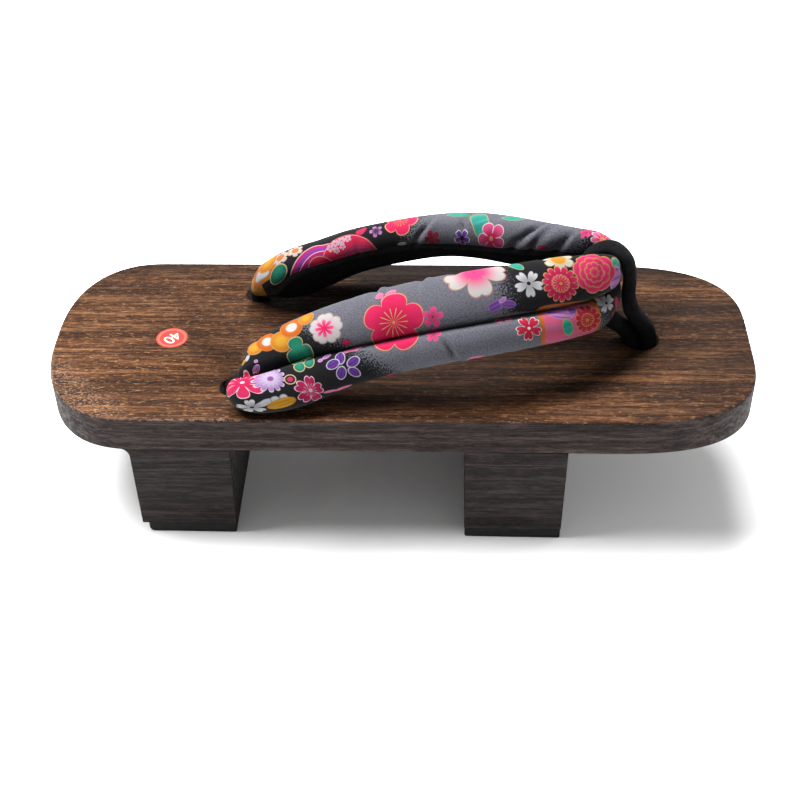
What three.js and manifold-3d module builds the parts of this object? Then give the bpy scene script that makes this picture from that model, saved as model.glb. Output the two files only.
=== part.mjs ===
// A wooden sandal on two cross teeth, with a padded cloth V strap and a toe thong.
// Millimetres. The origin is on the floor under the middle of the board,
// +X points to the toe, +Y to the wearer's left and +Z up.

import * as THREE from "three";
import { mergeVertices } from "three/addons/utils/BufferGeometryUtils.js";
import Module from "manifold-3d";

const wasm = await Module();
wasm.setup();

// ---------------------------------------------------------------- driving sizes

const TOOTH_HEIGHT = 41.5;        // floor to the board's underside, rubber included
const BOARD = {
  length: 255,
  thick: 14.1,
  halfWidthHeel: 47.8,
  halfWidthToe: 47.0,
  edgeRound: 1.5,
  edgeSteps: 2,
  cornerSteps: 14,
};
const BOARD_BASE = TOOTH_HEIGHT;
const BOARD_TOP = BOARD_BASE + BOARD.thick;

// Each end of the board is rounded by a superellipse: how far the curve reaches
// along the board, how far across it, and how square it is.
const HEEL_CORNER = { along: 34.8, across: 45.4, square: 2.35 };
const TOE_CORNER = { along: 55.0, across: 38.4, square: 2.78 };

const TOOTH = { long: 36.0, taper: 0.013, halfWidth: 47.2 };
const TOOTH_X = { rear: -75.9, front: 43.1 };
const COVE_RADIUS = 4.0;          // hollow between the rear tooth's heel side and the board
const COVE_STEPS = 6;
const TREAD = { thick: 4.5, inset: 1.2, corner: 2.6, cornerSteps: 4 };

// Holes through the board. The rear pair slants forward and inward as it goes down,
// so that it comes out clear of the rear tooth.
const HOLE_SIDES = 20;
const HOLE_OVERRUN = 6;
const TOE_HOLE = { x: 88.6, radius: 6.6 };
const REAR_HOLE = { forward: 6.2, radius: 5.0 };
const REAR_HOLE_SIDE = {
  right: { x: -56.8, top: -29.4, base: -26.6, inside: -32.2 },
  left: { x: -53.4, top: 26.6, base: 24.2, inside: 25.0 },
};

// The upper: the padded V strap, from each rounded rear end on the board to the middle
// of its front bend. Heights are above the board's top, and side is the distance from
// the sandal's middle plane. lean is the tilt of the strap's width, from flat (0) to
// standing on edge (90), and crease is how far the crease lies above the section's
// middle. The right arm's rear end lies down flatter than the left one.
const STRAP_REAR = {
  right: [
    //  x      side   rise  width  thick  lean  crease
    [-57.2,  32.6,   6.2,   6.0,   4.0,    8,    0.0],
    [-56.4,  33.0,   6.5,  13.0,   8.0,    9,    0.0],
    [-54.4,  33.7,   7.1,  19.0,  11.0,   10,    0.0],
    [-51.0,  34.6,   8.2,  24.0,  12.6,   12,    0.0],
    [-46.0,  34.8,   9.5,  28.0,  13.6,   16,    0.0],
    [-38.0,  32.8,  11.4,  30.0,  14.2,   25,    0.0],
    [-28.0,  30.4,  14.4,  30.0,  14.4,   36,   -0.8],
    [-16.0,  28.8,  19.2,  29.2,  14.4,   44,   -2.2],
  ],
  left: [
    //  x      side   rise  width  thick  lean  crease
    [-56.6,  26.2,   3.0,   3.6,   3.0,   40,    0.0],
    [-55.2,  26.0,   4.1,   7.0,   5.0,   44,    0.0],
    [-52.6,  25.4,   5.9,  11.4,   7.8,   48,    0.0],
    [-49.0,  24.5,   8.3,  16.6,  10.4,   52,    0.0],
    [-44.6,  23.8,  10.9,  22.0,  12.6,   55,    0.0],
    [-38.0,  23.8,  13.3,  27.2,  14.0,   56,    0.0],
    [-28.0,  25.0,  16.2,  29.2,  14.4,   53,   -0.8],
    [-16.0,  26.6,  20.0,  29.0,  14.4,   49,   -2.2],
  ],
};
const STRAP_FRONT = [
  //  x      side   rise  width  thick  lean  crease
  [  0.0,  27.2,  23.9,  29.6,  14.4,   45,   -3.3],
  [ 16.0,  26.2,  27.6,  30.0,  14.4,   42,   -3.9],
  [ 30.0,  24.2,  29.3,  29.8,  14.4,   43,   -3.8],
  [ 42.0,  21.0,  29.6,  29.4,  14.2,   46,   -3.4],
  [ 52.0,  17.4,  29.3,  29.0,  13.6,   52,   -3.0],
  [ 60.0,  14.2,  28.8,  28.4,  12.8,   60,   -2.6],
  [ 66.0,  11.8,  28.3,  27.8,  11.8,   68,   -2.0],
  [ 71.0,   9.2,  28.0,  27.2,  10.6,   76,   -1.2],
  [ 73.4,   6.4,  27.6,  24.0,   8.8,   82,   -0.6],
  [ 74.4,   3.8,  26.9,  18.2,   6.8,   84,   -0.2],
  [ 74.6,   0.0,  26.8,  18.0,   6.2,   85,    0.0],
];
const STRAP_STEPS = 3;            // rings between one row and the next
const STRAP_SIDES = 24;
const STRAP_SQUARE = 2.5;
const CREASE = { depth: 3.2, liningDepth: 0.9, halfWidth: 3.4, fullAtThick: 12 };
const NECK = { radius: 3.3, forward: 3.6, insideRise: 8.0, endUp: 2.2, sides: 12 };

// The toe thong: one cloth loop over the strap's front bend, both of its strands
// going down through the toe hole. Heights are above the board's top.
const THONG_ROWS = [
  //  x     rise   width  thick
  [ 85.8, -13.6,   7.0,   5.0],
  [ 85.8,  -6.0,   7.0,   5.0],
  [ 85.4,  -0.6,   7.2,   5.2],
  [ 83.0,   4.4,   8.6,   5.8],
  [ 78.8,   8.4,   8.6,   5.8],
  [ 73.4,  11.9,   7.6,   5.2],
  [ 68.4,  16.2,   5.8,   5.0],
  [ 66.4,  23.0,   4.8,   5.0],
  [ 66.4,  31.0,   4.6,   5.0],
  [ 68.4,  37.0,   4.8,   4.8],
  [ 72.6,  39.4,   5.8,   4.8],
  [ 76.8,  38.6,   7.4,   5.0],
  [ 80.0,  34.4,   9.0,   5.6],
  [ 81.3,  28.0,   9.4,   6.2],
  [ 81.4,  20.4,   9.4,   6.2],
  [ 83.0,  14.4,   9.2,   6.0],
  [ 86.8,   9.4,   9.2,   5.8],
  [ 90.0,   4.2,   8.8,   5.8],
  [ 91.4,  -0.8,   7.2,   5.2],
  [ 91.4,  -6.0,   7.0,   5.0],
  [ 91.4, -13.6,   7.0,   5.0],
];
const THONG_STEPS = 2;
const THONG_SIDES = 12;

// Plain stopper knots under the board, one on the thong and one on each strap end.
const KNOT = { gap: 0.4, toe: [9.5, 8.5, 5.5], rear: [7.0, 7.5, 5.0], slices: 16, stacks: 10 };

// ------------------------------------------------------------------- materials

function finish(color, roughness) {
  return new THREE.MeshStandardMaterial({ color, roughness, metalness: 0 });
}

const WOOD = finish(0x5a3a26, 0.6);
const DARK_WOOD = finish(0x2c2421, 0.65);
const RUBBER = finish(0x151515, 0.85);
const PRINTED_CLOTH = finish(0x6b6d78, 0.9);
const BLACK_CLOTH = finish(0x0d0d10, 0.95);

// --------------------------------------------------------------- general tools

function toSolid(geometry) {
  const bare = geometry.index ? geometry.clone() : geometry;
  bare.deleteAttribute("normal");
  bare.deleteAttribute("uv");
  const merged = mergeVertices(bare, 1e-4);
  return new wasm.Manifold(new wasm.Mesh({
    numProp: 3,
    vertProperties: new Float32Array(merged.attributes.position.array),
    triVerts: new Uint32Array(merged.index.array),
  }));
}

function toGeometry(solid) {
  const mesh = solid.getMesh();
  const geometry = new THREE.BufferGeometry();
  geometry.setAttribute("position", new THREE.BufferAttribute(mesh.vertProperties, 3));
  geometry.setIndex(new THREE.BufferAttribute(mesh.triVerts, 1));
  geometry.computeVertexNormals();
  return geometry;
}

function addPart(name, geometry, material) {
  const mesh = new THREE.Mesh(geometry, material);
  mesh.name = name;
  sandal.add(mesh);
}

// A straight round rod from one point to another.
function rod(from, to, radius, sides) {
  const span = to.clone().sub(from);
  const geometry = new THREE.CylinderGeometry(radius, radius, span.length(), sides);
  const turn = new THREE.Quaternion();
  turn.setFromUnitVectors(new THREE.Vector3(0, 1, 0), span.clone().normalize());
  geometry.applyQuaternion(turn);
  const middle = from.clone().add(to).multiplyScalar(0.5);
  geometry.translate(middle.x, middle.y, middle.z);
  return geometry;
}

// Rows of a table as a smooth run of rows, with a few steps between each pair.
function smoothRows(rows, steps) {
  const run = [];
  for (let i = 0; i < rows.length - 1; i += 1) {
    const before = rows[Math.max(i - 1, 0)];
    const after = rows[Math.min(i + 2, rows.length - 1)];
    for (let k = 0; k < steps; k += 1) {
      run.push(rows[i].map((value, column) => {
        const t = k / steps;
        const next = rows[i + 1][column];
        const startSlope = (next - before[column]) / 2;
        const endSlope = (after[column] - value) / 2;
        const rise = next - value;
        const square = 3 * rise - 2 * startSlope - endSlope;
        const cube = startSlope + endSlope - 2 * rise;
        return value + startSlope * t + square * t * t + cube * t * t * t;
      }));
    }
  }
  run.push(rows[rows.length - 1]);
  return run;
}

// Unit directions along a run of points.
function tangents(points) {
  return points.map((point, i) => {
    const back = points[Math.max(i - 1, 0)];
    const ahead = points[Math.min(i + 1, points.length - 1)];
    return ahead.clone().sub(back).normalize();
  });
}

// A closed skin over equal rings of points, with a flat fan over each end.
function loft(rings) {
  const sides = rings[0].length;
  const points = rings.flat();
  const faces = [];
  for (let i = 0; i < rings.length - 1; i += 1) {
    for (let k = 0; k < sides; k += 1) {
      const a = i * sides + k;
      const b = i * sides + (k + 1) % sides;
      faces.push(a, b, b + sides, a, b + sides, a + sides);
    }
  }
  for (const [ring, flip] of [[0, true], [rings.length - 1, false]]) {
    const middle = new THREE.Vector3();
    rings[ring].forEach((point) => middle.addScaledVector(point, 1 / sides));
    points.push(middle);
    for (let k = 0; k < sides; k += 1) {
      const a = ring * sides + k;
      const b = ring * sides + (k + 1) % sides;
      faces.push(...(flip ? [b, a] : [a, b]), points.length - 1);
    }
  }
  const geometry = new THREE.BufferGeometry().setFromPoints(points);
  geometry.setIndex(faces);
  geometry.computeVertexNormals();
  return geometry;
}

function power(value, exponent) {
  return Math.sign(value) * Math.abs(value) ** exponent;
}

// ----------------------------------------------------------------------- board

// The board's outline: straight sides joined by two superellipse corners at each end.
function boardOutline() {
  const half = BOARD.length / 2;
  const corner = (end, side, t) => {
    const form = end > 0 ? TOE_CORNER : HEEL_CORNER;
    const halfWidth = end > 0 ? BOARD.halfWidthToe : BOARD.halfWidthHeel;
    const x = half - form.along + form.along * power(Math.sin(t), 2 / form.square);
    const y = halfWidth - form.across + form.across * power(Math.cos(t), 2 / form.square);
    return new THREE.Vector2(end * x, side * y);
  };
  const points = [];
  for (const [end, side, outward] of [[1, -1, true], [1, 1, false], [-1, 1, true], [-1, -1, false]]) {
    for (let i = 0; i <= BOARD.cornerSteps; i += 1) {
      const step = outward ? i : BOARD.cornerSteps - i;
      points.push(corner(end, side, (step / BOARD.cornerSteps) * (Math.PI / 2)));
    }
  }
  return new THREE.Shape(points);
}

function boardSolid() {
  const slab = new THREE.ExtrudeGeometry(boardOutline(), {
    depth: BOARD.thick - 2 * BOARD.edgeRound,
    bevelEnabled: true,
    bevelThickness: BOARD.edgeRound,
    bevelSize: BOARD.edgeRound,
    bevelOffset: -BOARD.edgeRound,
    bevelSegments: BOARD.edgeSteps,
  });
  slab.translate(0, 0, BOARD_BASE + BOARD.edgeRound);
  let solid = toSolid(slab);
  const toeTop = new THREE.Vector3(TOE_HOLE.x, 0, BOARD_TOP + HOLE_OVERRUN);
  const toeBase = new THREE.Vector3(TOE_HOLE.x, 0, BOARD_BASE - HOLE_OVERRUN);
  solid = solid.subtract(toSolid(rod(toeBase, toeTop, TOE_HOLE.radius, HOLE_SIDES)));
  for (const side of Object.values(REAR_HOLE_SIDE)) {
    const { top, base, along } = rearHoleAxis(side);
    const high = top.clone().addScaledVector(along, -HOLE_OVERRUN);
    const low = base.clone().addScaledVector(along, HOLE_OVERRUN);
    solid = solid.subtract(toSolid(rod(low, high, REAR_HOLE.radius, HOLE_SIDES)));
  }
  return toGeometry(solid);
}

function rearHoleAxis(side) {
  const top = new THREE.Vector3(side.x, side.top, BOARD_TOP);
  const base = new THREE.Vector3(side.x + REAR_HOLE.forward, side.base, BOARD_BASE);
  return { top, base, along: base.clone().sub(top).normalize() };
}

// ----------------------------------------------------------------------- teeth

// A flat outline in X and Z, extruded across the sandal between -halfWidth and +halfWidth.
function crosswise(shape, halfWidth) {
  const geometry = new THREE.ExtrudeGeometry(shape, { depth: 2 * halfWidth, bevelEnabled: false });
  geometry.rotateX(Math.PI / 2);
  geometry.translate(0, halfWidth, 0);
  return geometry;
}

function toothProfile(middle, cove) {
  const low = TREAD.thick;
  const high = BOARD_BASE;
  const halfTop = TOOTH.long / 2;
  const halfLow = halfTop - TOOTH.taper * (high - low);
  const shape = new THREE.Shape();
  shape.moveTo(middle - halfLow, low);
  shape.lineTo(middle + halfLow, low);
  shape.lineTo(middle + halfTop, high);
  if (cove > 0) {
    for (let i = 0; i <= COVE_STEPS; i += 1) {
      const angle = Math.PI / 2 * (1 - i / COVE_STEPS);
      const x = middle - halfTop - cove + cove * Math.cos(angle);
      shape.lineTo(x, high - cove + cove * Math.sin(angle));
    }
  } else {
    shape.lineTo(middle - halfTop, high);
  }
  shape.closePath();
  return shape;
}

function treadSolid(middle) {
  const halfTop = TOOTH.long / 2;
  const halfX = halfTop - TOOTH.taper * (BOARD_BASE - TREAD.thick) - TREAD.inset;
  const halfY = TOOTH.halfWidth - TREAD.inset;
  const r = TREAD.corner;
  const shape = new THREE.Shape();
  shape.moveTo(-halfX + r, -halfY);
  shape.lineTo(halfX - r, -halfY);
  shape.absarc(halfX - r, -halfY + r, r, -Math.PI / 2, 0, false);
  shape.absarc(halfX - r, halfY - r, r, 0, Math.PI / 2, false);
  shape.absarc(-halfX + r, halfY - r, r, Math.PI / 2, Math.PI, false);
  shape.absarc(-halfX + r, -halfY + r, r, Math.PI, Math.PI * 1.5, false);
  shape.closePath();
  const geometry = new THREE.ExtrudeGeometry(shape, {
    depth: TREAD.thick,
    bevelEnabled: false,
    curveSegments: TREAD.cornerSteps,
  });
  geometry.translate(middle, 0, 0);
  return geometry;
}

// ----------------------------------------------------------------------- strap

// One strap section is two soft rolls side by side, with a crease along the middle
// of the printed face and a shallow one along the lining.
function strapSection(width, thick, crease) {
  const points = [];
  for (let i = 0; i < STRAP_SIDES; i += 1) {
    const angle = (i / STRAP_SIDES) * Math.PI * 2;
    const across = (width / 2) * power(Math.cos(angle), 2 / STRAP_SQUARE);
    const out = (thick / 2) * power(Math.sin(angle), 2 / STRAP_SQUARE);
    const offset = (across - crease) / CREASE.halfWidth;
    const nearCrease = Math.exp(-(offset ** 2)) * Math.min(1, thick / CREASE.fullAtThick);
    const dip = out > 0 ? -CREASE.depth : CREASE.liningDepth;
    points.push([across, out + dip * nearCrease]);
  }
  return points;
}

function strapSolid() {
  const right = smoothRows([...STRAP_REAR.right, ...STRAP_FRONT], STRAP_STEPS);
  const left = smoothRows([...STRAP_REAR.left, ...STRAP_FRONT], STRAP_STEPS);
  const toRight = right.map((row) => [row[0], -row[1], ...row.slice(2)]);
  const rows = [...toRight, ...left.slice(0, -1).reverse()];
  const centres = rows.map(([x, side, rise]) => new THREE.Vector3(x, side, BOARD_TOP + rise));
  const along = tangents(centres);
  const up = new THREE.Vector3(0, 0, 1);
  const rings = rows.map(([, , , width, thick, lean, crease], i) => {
    const inward = up.clone().cross(along[i]).normalize();
    const upward = along[i].clone().cross(inward);
    const tilt = THREE.MathUtils.degToRad(lean);
    const widthAxis = inward.clone().multiplyScalar(Math.cos(tilt));
    widthAxis.addScaledVector(upward, Math.sin(tilt));
    const faceAxis = inward.clone().multiplyScalar(-Math.sin(tilt));
    faceAxis.addScaledVector(upward, Math.cos(tilt));
    return strapSection(width, thick, crease).map(([across, out]) => {
      const point = centres[i].clone();
      point.addScaledVector(widthAxis, across);
      return point.addScaledVector(faceAxis, out);
    });
  });
  let solid = toSolid(loft(rings));
  for (const side of Object.values(REAR_HOLE_SIDE)) {
    const { top, base, along: down } = rearHoleAxis(side);
    const end = base.addScaledVector(down, -NECK.endUp);
    const inside = new THREE.Vector3(side.x + NECK.forward, side.inside, BOARD_TOP + NECK.insideRise);
    solid = solid.add(toSolid(loft(neckRings([inside, top, end]))));
  }
  return toGeometry(solid);
}

// The drawn-in end of a strap: a round cord bent from the pad into its hole.
function neckRings(points) {
  const along = tangents(points);
  return points.map((point, i) => {
    const inward = new THREE.Vector3(0, 1, 0).cross(along[i]).normalize();
    const across = along[i].clone().cross(inward);
    const ring = [];
    for (let k = 0; k < NECK.sides; k += 1) {
      const angle = (k / NECK.sides) * Math.PI * 2;
      const spot = point.clone();
      spot.addScaledVector(inward, NECK.radius * Math.cos(angle));
      ring.push(spot.addScaledVector(across, NECK.radius * Math.sin(angle)));
    }
    return ring;
  });
}

// ------------------------------------------------------------------- toe thong

function thongSolid() {
  const rows = smoothRows(THONG_ROWS, THONG_STEPS);
  const centres = rows.map(([x, rise]) => new THREE.Vector3(x, 0, BOARD_TOP + rise));
  const along = tangents(centres);
  const rings = rows.map(([, , width, thick], i) => {
    const across = new THREE.Vector3(0, 1, 0);
    const out = across.clone().cross(along[i]);
    const ring = [];
    for (let k = 0; k < THONG_SIDES; k += 1) {
      const angle = (k / THONG_SIDES) * Math.PI * 2;
      const spot = centres[i].clone();
      spot.addScaledVector(out, (thick / 2) * Math.cos(angle));
      ring.push(spot.addScaledVector(across, (width / 2) * Math.sin(angle)));
    }
    return ring;
  });
  return toGeometry(toSolid(loft(rings)));
}

function knotSolid(x, y, [reachX, reachY, reachZ]) {
  const geometry = new THREE.SphereGeometry(1, KNOT.slices, KNOT.stacks);
  geometry.scale(reachX, reachY, reachZ);
  geometry.translate(x, y, BOARD_BASE - KNOT.gap - reachZ);
  return geometry;
}

// -------------------------------------------------------------------- assembly

const sandal = new THREE.Group();

addPart("board", boardSolid(), WOOD);
addPart("tooth_rear", crosswise(toothProfile(TOOTH_X.rear, COVE_RADIUS), TOOTH.halfWidth), DARK_WOOD);
addPart("tooth_front", crosswise(toothProfile(TOOTH_X.front, 0), TOOTH.halfWidth), DARK_WOOD);
addPart("tread_rear", treadSolid(TOOTH_X.rear), RUBBER);
addPart("tread_front", treadSolid(TOOTH_X.front), RUBBER);
addPart("strap", strapSolid(), PRINTED_CLOTH);
addPart("toe_thong", thongSolid(), BLACK_CLOTH);
addPart("toe_knot", knotSolid(TOE_HOLE.x, 0, KNOT.toe), BLACK_CLOTH);
for (const [hand, side] of Object.entries(REAR_HOLE_SIDE)) {
  const knot = knotSolid(side.x + REAR_HOLE.forward, side.base, KNOT.rear);
  addPart(`rear_knot_${hand}`, knot, BLACK_CLOTH);
}

export default sandal;
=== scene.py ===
import math

import bmesh
import bpy
from mathutils import Matrix, Vector


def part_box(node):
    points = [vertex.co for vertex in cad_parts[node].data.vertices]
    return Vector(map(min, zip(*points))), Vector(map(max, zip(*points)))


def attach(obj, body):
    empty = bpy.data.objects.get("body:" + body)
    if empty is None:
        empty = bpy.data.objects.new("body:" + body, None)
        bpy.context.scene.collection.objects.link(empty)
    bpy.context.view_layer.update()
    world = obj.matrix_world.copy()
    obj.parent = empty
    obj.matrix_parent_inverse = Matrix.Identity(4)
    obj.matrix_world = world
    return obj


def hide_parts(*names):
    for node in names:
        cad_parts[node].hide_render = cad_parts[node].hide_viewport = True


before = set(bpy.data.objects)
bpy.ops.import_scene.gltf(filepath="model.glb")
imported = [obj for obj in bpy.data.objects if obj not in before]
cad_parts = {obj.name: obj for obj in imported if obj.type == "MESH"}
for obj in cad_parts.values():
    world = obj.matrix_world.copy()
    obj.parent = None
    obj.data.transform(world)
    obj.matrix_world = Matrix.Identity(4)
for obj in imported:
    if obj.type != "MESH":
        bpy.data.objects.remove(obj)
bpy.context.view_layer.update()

MM = 0.001
TOLERANCE = 0.001

# ------------------------------------------------------------------ sizes, in mm

BOARD_LOW, BOARD_HIGH = (Vector(corner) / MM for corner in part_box("board"))
BOARD_TOP = BOARD_HIGH.z
BOARD_BASE = BOARD_LOW.z
HALF_LENGTH = BOARD_HIGH.x
BOARD = {"half_heel": 47.8, "half_toe": 47.0, "top_round": 1.0, "low_round": 0.3, "edge_steps": 4,
         "flat_rim": 0.6}
HEEL_CORNER = {"along": 34.8, "across": 45.4, "square": 2.35}
TOE_CORNER = {"along": 55.0, "across": 38.4, "square": 2.78}
OUTLINE_POINTS = 192

TOOTH = {"long": 36.0, "taper": 0.013, "half_width": 47.2, "edge": 0.7, "edge_steps": 3}
TOOTH_X = {"rear": -75.9, "front": 43.1}
COVE = {"rear": 4.0, "front": 0.0}
COVE_STEPS = 10
# The front tooth's joint shows as a fine groove this far under the board.
TOOTH_JOINT = 7.0
TREAD = {"thick": 4.5, "inset": 0.2, "corner_steps": 6, "edge": 0.25, "edge_steps": 2}
# How far each tread stops short of its tooth's heel side, and its corners' radius there.
TREAD_HEEL = {"rear": (1.6, 2.6), "front": (0.2, 0.8)}
TREAD_TOE_CORNER = 0.8

TOE_HOLE = {"x": 88.6, "radius": 6.6}
REAR_HOLE = {"forward": 6.2, "radius": 5.0}
REAR_HOLE_SIDE = {
    "right": {"x": -56.8, "top": -29.4, "base": -26.6, "inside": -32.2},
    "left": {"x": -53.4, "top": 26.6, "base": 24.2, "inside": 25.0},
}
HOLE_SIDES = 48
HOLE_OVERRUN = 6.0

# The padded strap, arm by arm: along the board, out from its middle plane, height above
# its top, then the section's width, thickness, tilt in degrees and where its crease lies.
STRAP_REAR = {
    "right": [
        (-54.6, 34.2, 5.8, 6.0, 4.0, 8, 0.0),
        (-54.0, 34.6, 6.1, 13.0, 8.0, 9, 0.0),
        (-52.5, 35.4, 6.8, 19.0, 11.0, 10, 0.0),
        (-49.9, 36.2, 8.0, 24.0, 12.6, 12, 0.0),
        (-46.0, 35.9, 9.3, 28.0, 13.6, 16, 0.0),
        (-38.0, 33.5, 11.2, 30.0, 14.2, 25, 0.0),
        (-28.0, 30.4, 14.4, 30.0, 14.4, 36, -0.8),
        (-16.0, 28.8, 19.2, 29.2, 14.4, 44, -2.2),
    ],
    "left": [
        (-55.4, 24.6, 2.4, 3.6, 3.0, 40, 0.0),
        (-54.2, 24.4, 3.6, 7.0, 5.4, 44, 0.0),
        (-51.8, 23.8, 5.5, 11.4, 8.6, 48, 0.0),
        (-48.4, 22.9, 7.9, 16.6, 11.6, 52, 0.0),
        (-44.2, 22.2, 10.5, 22.0, 14.0, 55, 0.0),
        (-38.0, 22.6, 13.0, 27.2, 15.4, 56, 0.0),
        (-28.0, 24.4, 16.1, 29.2, 15.0, 53, -0.8),
        (-16.0, 26.6, 20.0, 29.0, 14.4, 49, -2.2),
    ],
}
STRAP_FRONT = [
    (0.0, 27.2, 23.9, 29.6, 14.4, 45, -3.3),
    (16.0, 26.2, 27.6, 30.0, 14.4, 42, -3.9),
    (30.0, 24.2, 29.3, 29.8, 14.4, 43, -3.8),
    (42.0, 21.0, 29.6, 29.4, 14.2, 46, -3.4),
    (52.0, 17.4, 29.3, 29.0, 13.6, 52, -3.0),
    (60.0, 14.2, 28.8, 28.4, 12.8, 60, -2.6),
    (66.0, 11.8, 28.3, 27.8, 11.8, 68, -2.0),
    (71.0, 9.2, 28.0, 27.2, 10.6, 76, -1.2),
    (74.4, 6.4, 27.6, 24.0, 8.8, 82, -0.6),
    (76.2, 3.8, 26.9, 18.6, 6.8, 84, -0.2),
    (76.7, 0.0, 26.8, 18.4, 6.2, 85, 0.0),
]
STRAP_STEPS = 20
RING_GAP = 0.75
STRAP_SIDES = 112
STRAP_SQUARE = 2.35
REST_GAP = 0.15
# The crease down the middle: a sharp fold, and a broad dip that adds to it.
CREASE = {"depth": 4.6, "lining_depth": 0.9, "full_at_thick": 12.0}
CREASE_SHAPE = {"sharp": (0.66, 1.25), "broad": (0.34, 4.5)}
OFF_CREASE = 9.0
# Where the print gives way to the lining: along the strap from its bend, and round it.
LINING_EDGE = [(0.0, 24.0), (30.0, 24.3), (52.0, 25.0), (66.0, 24.7), (76.0, 23.5),
               (150.0, 22.9)]
LINING_LOW_EDGE = -20.5
LINING_OVERLAP = 2.0
# The lining of the left arm is padded out a little more in its middle.
LINING_FILL = {"at": 44.0, "half_length": 24.0, "extra": 0.30}
SEAM = {"depth": 0.35, "half_width": 0.8}
NECK = {"radius": 3.168, "forward": 5.2, "inside_rise": 5.0, "end_up": 2.2, "sides": 28,
        "steps": 8, "pleats": 5, "pleat_depth": 0.05, "pleat_twist": 0.25}

# The toe thong: along the board, height above its top, width and thickness.
THONG = [
    (85.8, -13.6, 7.0, 5.4), (85.8, -6.0, 7.2, 5.8), (85.6, -0.6, 7.6, 5.9),
    (83.0, 4.4, 8.6, 5.8), (78.8, 8.4, 8.6, 5.8), (73.4, 11.9, 7.6, 5.2),
    (68.4, 16.2, 5.8, 5.0), (66.4, 23.0, 4.8, 5.0), (66.4, 31.0, 4.6, 5.0),
    (68.4, 37.0, 4.8, 4.8), (72.6, 39.4, 5.8, 4.8), (76.8, 38.6, 7.4, 5.0),
    (80.6, 34.4, 9.0, 5.2), (82.3, 28.0, 9.4, 4.8), (82.4, 20.4, 9.4, 4.8),
    (83.8, 14.4, 9.2, 5.4), (86.8, 9.4, 9.2, 5.8), (90.0, 4.2, 8.8, 5.8),
    (91.4, -0.8, 7.6, 5.9), (91.4, -6.0, 7.2, 5.8), (91.4, -13.6, 7.0, 5.4),
]
THONG_STEPS = 6
THONG_SIDES = 32
# The thong's gathers: depth, how often round it, and twist from ring to ring.
THONG_GATHERS = [(0.06, 3, 0.11), (0.05, 2, 0.45)]

# The knots under the board: where they are, and how far they reach each way.
KNOT = {"gap": 0.4, "around": 40, "up": 24, "tight": 0.91, "wrap": 0.09, "twist": 5}
KNOTS = {
    "toe_knot": (TOE_HOLE["x"], 0.0, (9.5, 8.5, 5.5)),
    "rear_knot_right": (-50.6, -26.6, (7.0, 7.5, 5.0)),
    "rear_knot_left": (-47.2, 24.2, (7.0, 7.5, 5.0)),
}

STICKER = {"x": -83.5, "y": -1.3, "radius": 5.9, "edge": 0.05, "thick": 0.12, "lift": 0.02,
           "sides": 64, "ring": 4.9}
DIGITS = {"text": "40", "size": 6.6, "turn": -128, "thick": 0.03, "bolder": 0.06, "lift": 0.06}

# ----------------------------------------------------------------- small helpers


LIGHT_LEVEL = 2.0


def linear(red, green, blue):
    """A colour as it looks under the studio light, 0 to 255 a channel, as a surface colour."""
    def channel(value):
        value /= 255.0
        value = value / 12.92 if value <= 0.04045 else ((value + 0.055) / 1.055) ** 2.4
        return value / LIGHT_LEVEL
    return (channel(red), channel(green), channel(blue), 1.0)


def power(value, exponent):
    return math.copysign(abs(value) ** exponent, value)


def bell(value, width):
    """One at nought, falling off either way."""
    return math.exp(-(value / width) ** 2)


def smooth_rows(rows, steps):
    """The rows of a table as a smooth run of rows."""
    run = []
    for i in range(len(rows) - 1):
        before, here = rows[max(i - 1, 0)], rows[i]
        ahead, after = rows[i + 1], rows[min(i + 2, len(rows) - 1)]
        for k in range(steps):
            t = k / steps
            row = []
            for p, a, b, q in zip(before, here, ahead, after):
                start, end, rise = (b - p) / 2, (q - a) / 2, b - a
                square = 3 * rise - 2 * start - end
                cube = start + end - 2 * rise
                row.append(a + start * t + square * t * t + cube * t ** 3)
            run.append(tuple(row))
    run.append(rows[-1])
    return run


def tangents(points):
    last = len(points) - 1
    return [(points[min(i + 1, last)] - points[max(i - 1, 0)]).normalized()
            for i in range(len(points))]


# Edges stay sharp where two faces turn by more than this, in degrees.
CRISP, PLAIN, SOFT = 30, 40, 60


def finish_piece(name, bm, materials, replaces=(), smooth_angle=PLAIN):
    """Makes a bmesh, modelled in millimetres, into a piece that rides on the sandal."""
    bmesh.ops.recalc_face_normals(bm, faces=bm.faces)
    bmesh.ops.scale(bm, vec=(MM, MM, MM), verts=bm.verts)
    mesh = bpy.data.meshes.new(name)
    bm.to_mesh(mesh)
    bm.free()
    for material in materials:
        mesh.materials.append(material)
    piece = bpy.data.objects.new(name, mesh)
    bpy.context.collection.objects.link(piece)
    mesh.shade_smooth()
    mesh.set_sharp_from_angle(angle=math.radians(smooth_angle))
    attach(piece, "root")
    if replaces:
        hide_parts(*replaces)
    return piece


def cut_away(piece, cutter_bm):
    """Cuts a closed bmesh, in millimetres, out of a finished piece."""
    bmesh.ops.scale(cutter_bm, vec=(MM, MM, MM), verts=cutter_bm.verts)
    mesh = bpy.data.meshes.new("cutter")
    cutter_bm.to_mesh(mesh)
    cutter_bm.free()
    cutter = bpy.data.objects.new("cutter", mesh)
    bpy.context.collection.objects.link(cutter)
    boolean = piece.modifiers.new("holes", "BOOLEAN")
    boolean.operation = "DIFFERENCE"
    boolean.solver = "EXACT"
    boolean.object = cutter
    bpy.context.view_layer.update()
    graph = bpy.context.evaluated_depsgraph_get()
    result = bpy.data.meshes.new_from_object(piece.evaluated_get(graph))
    piece.modifiers.clear()
    piece.data = result
    bpy.data.objects.remove(cutter)


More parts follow.
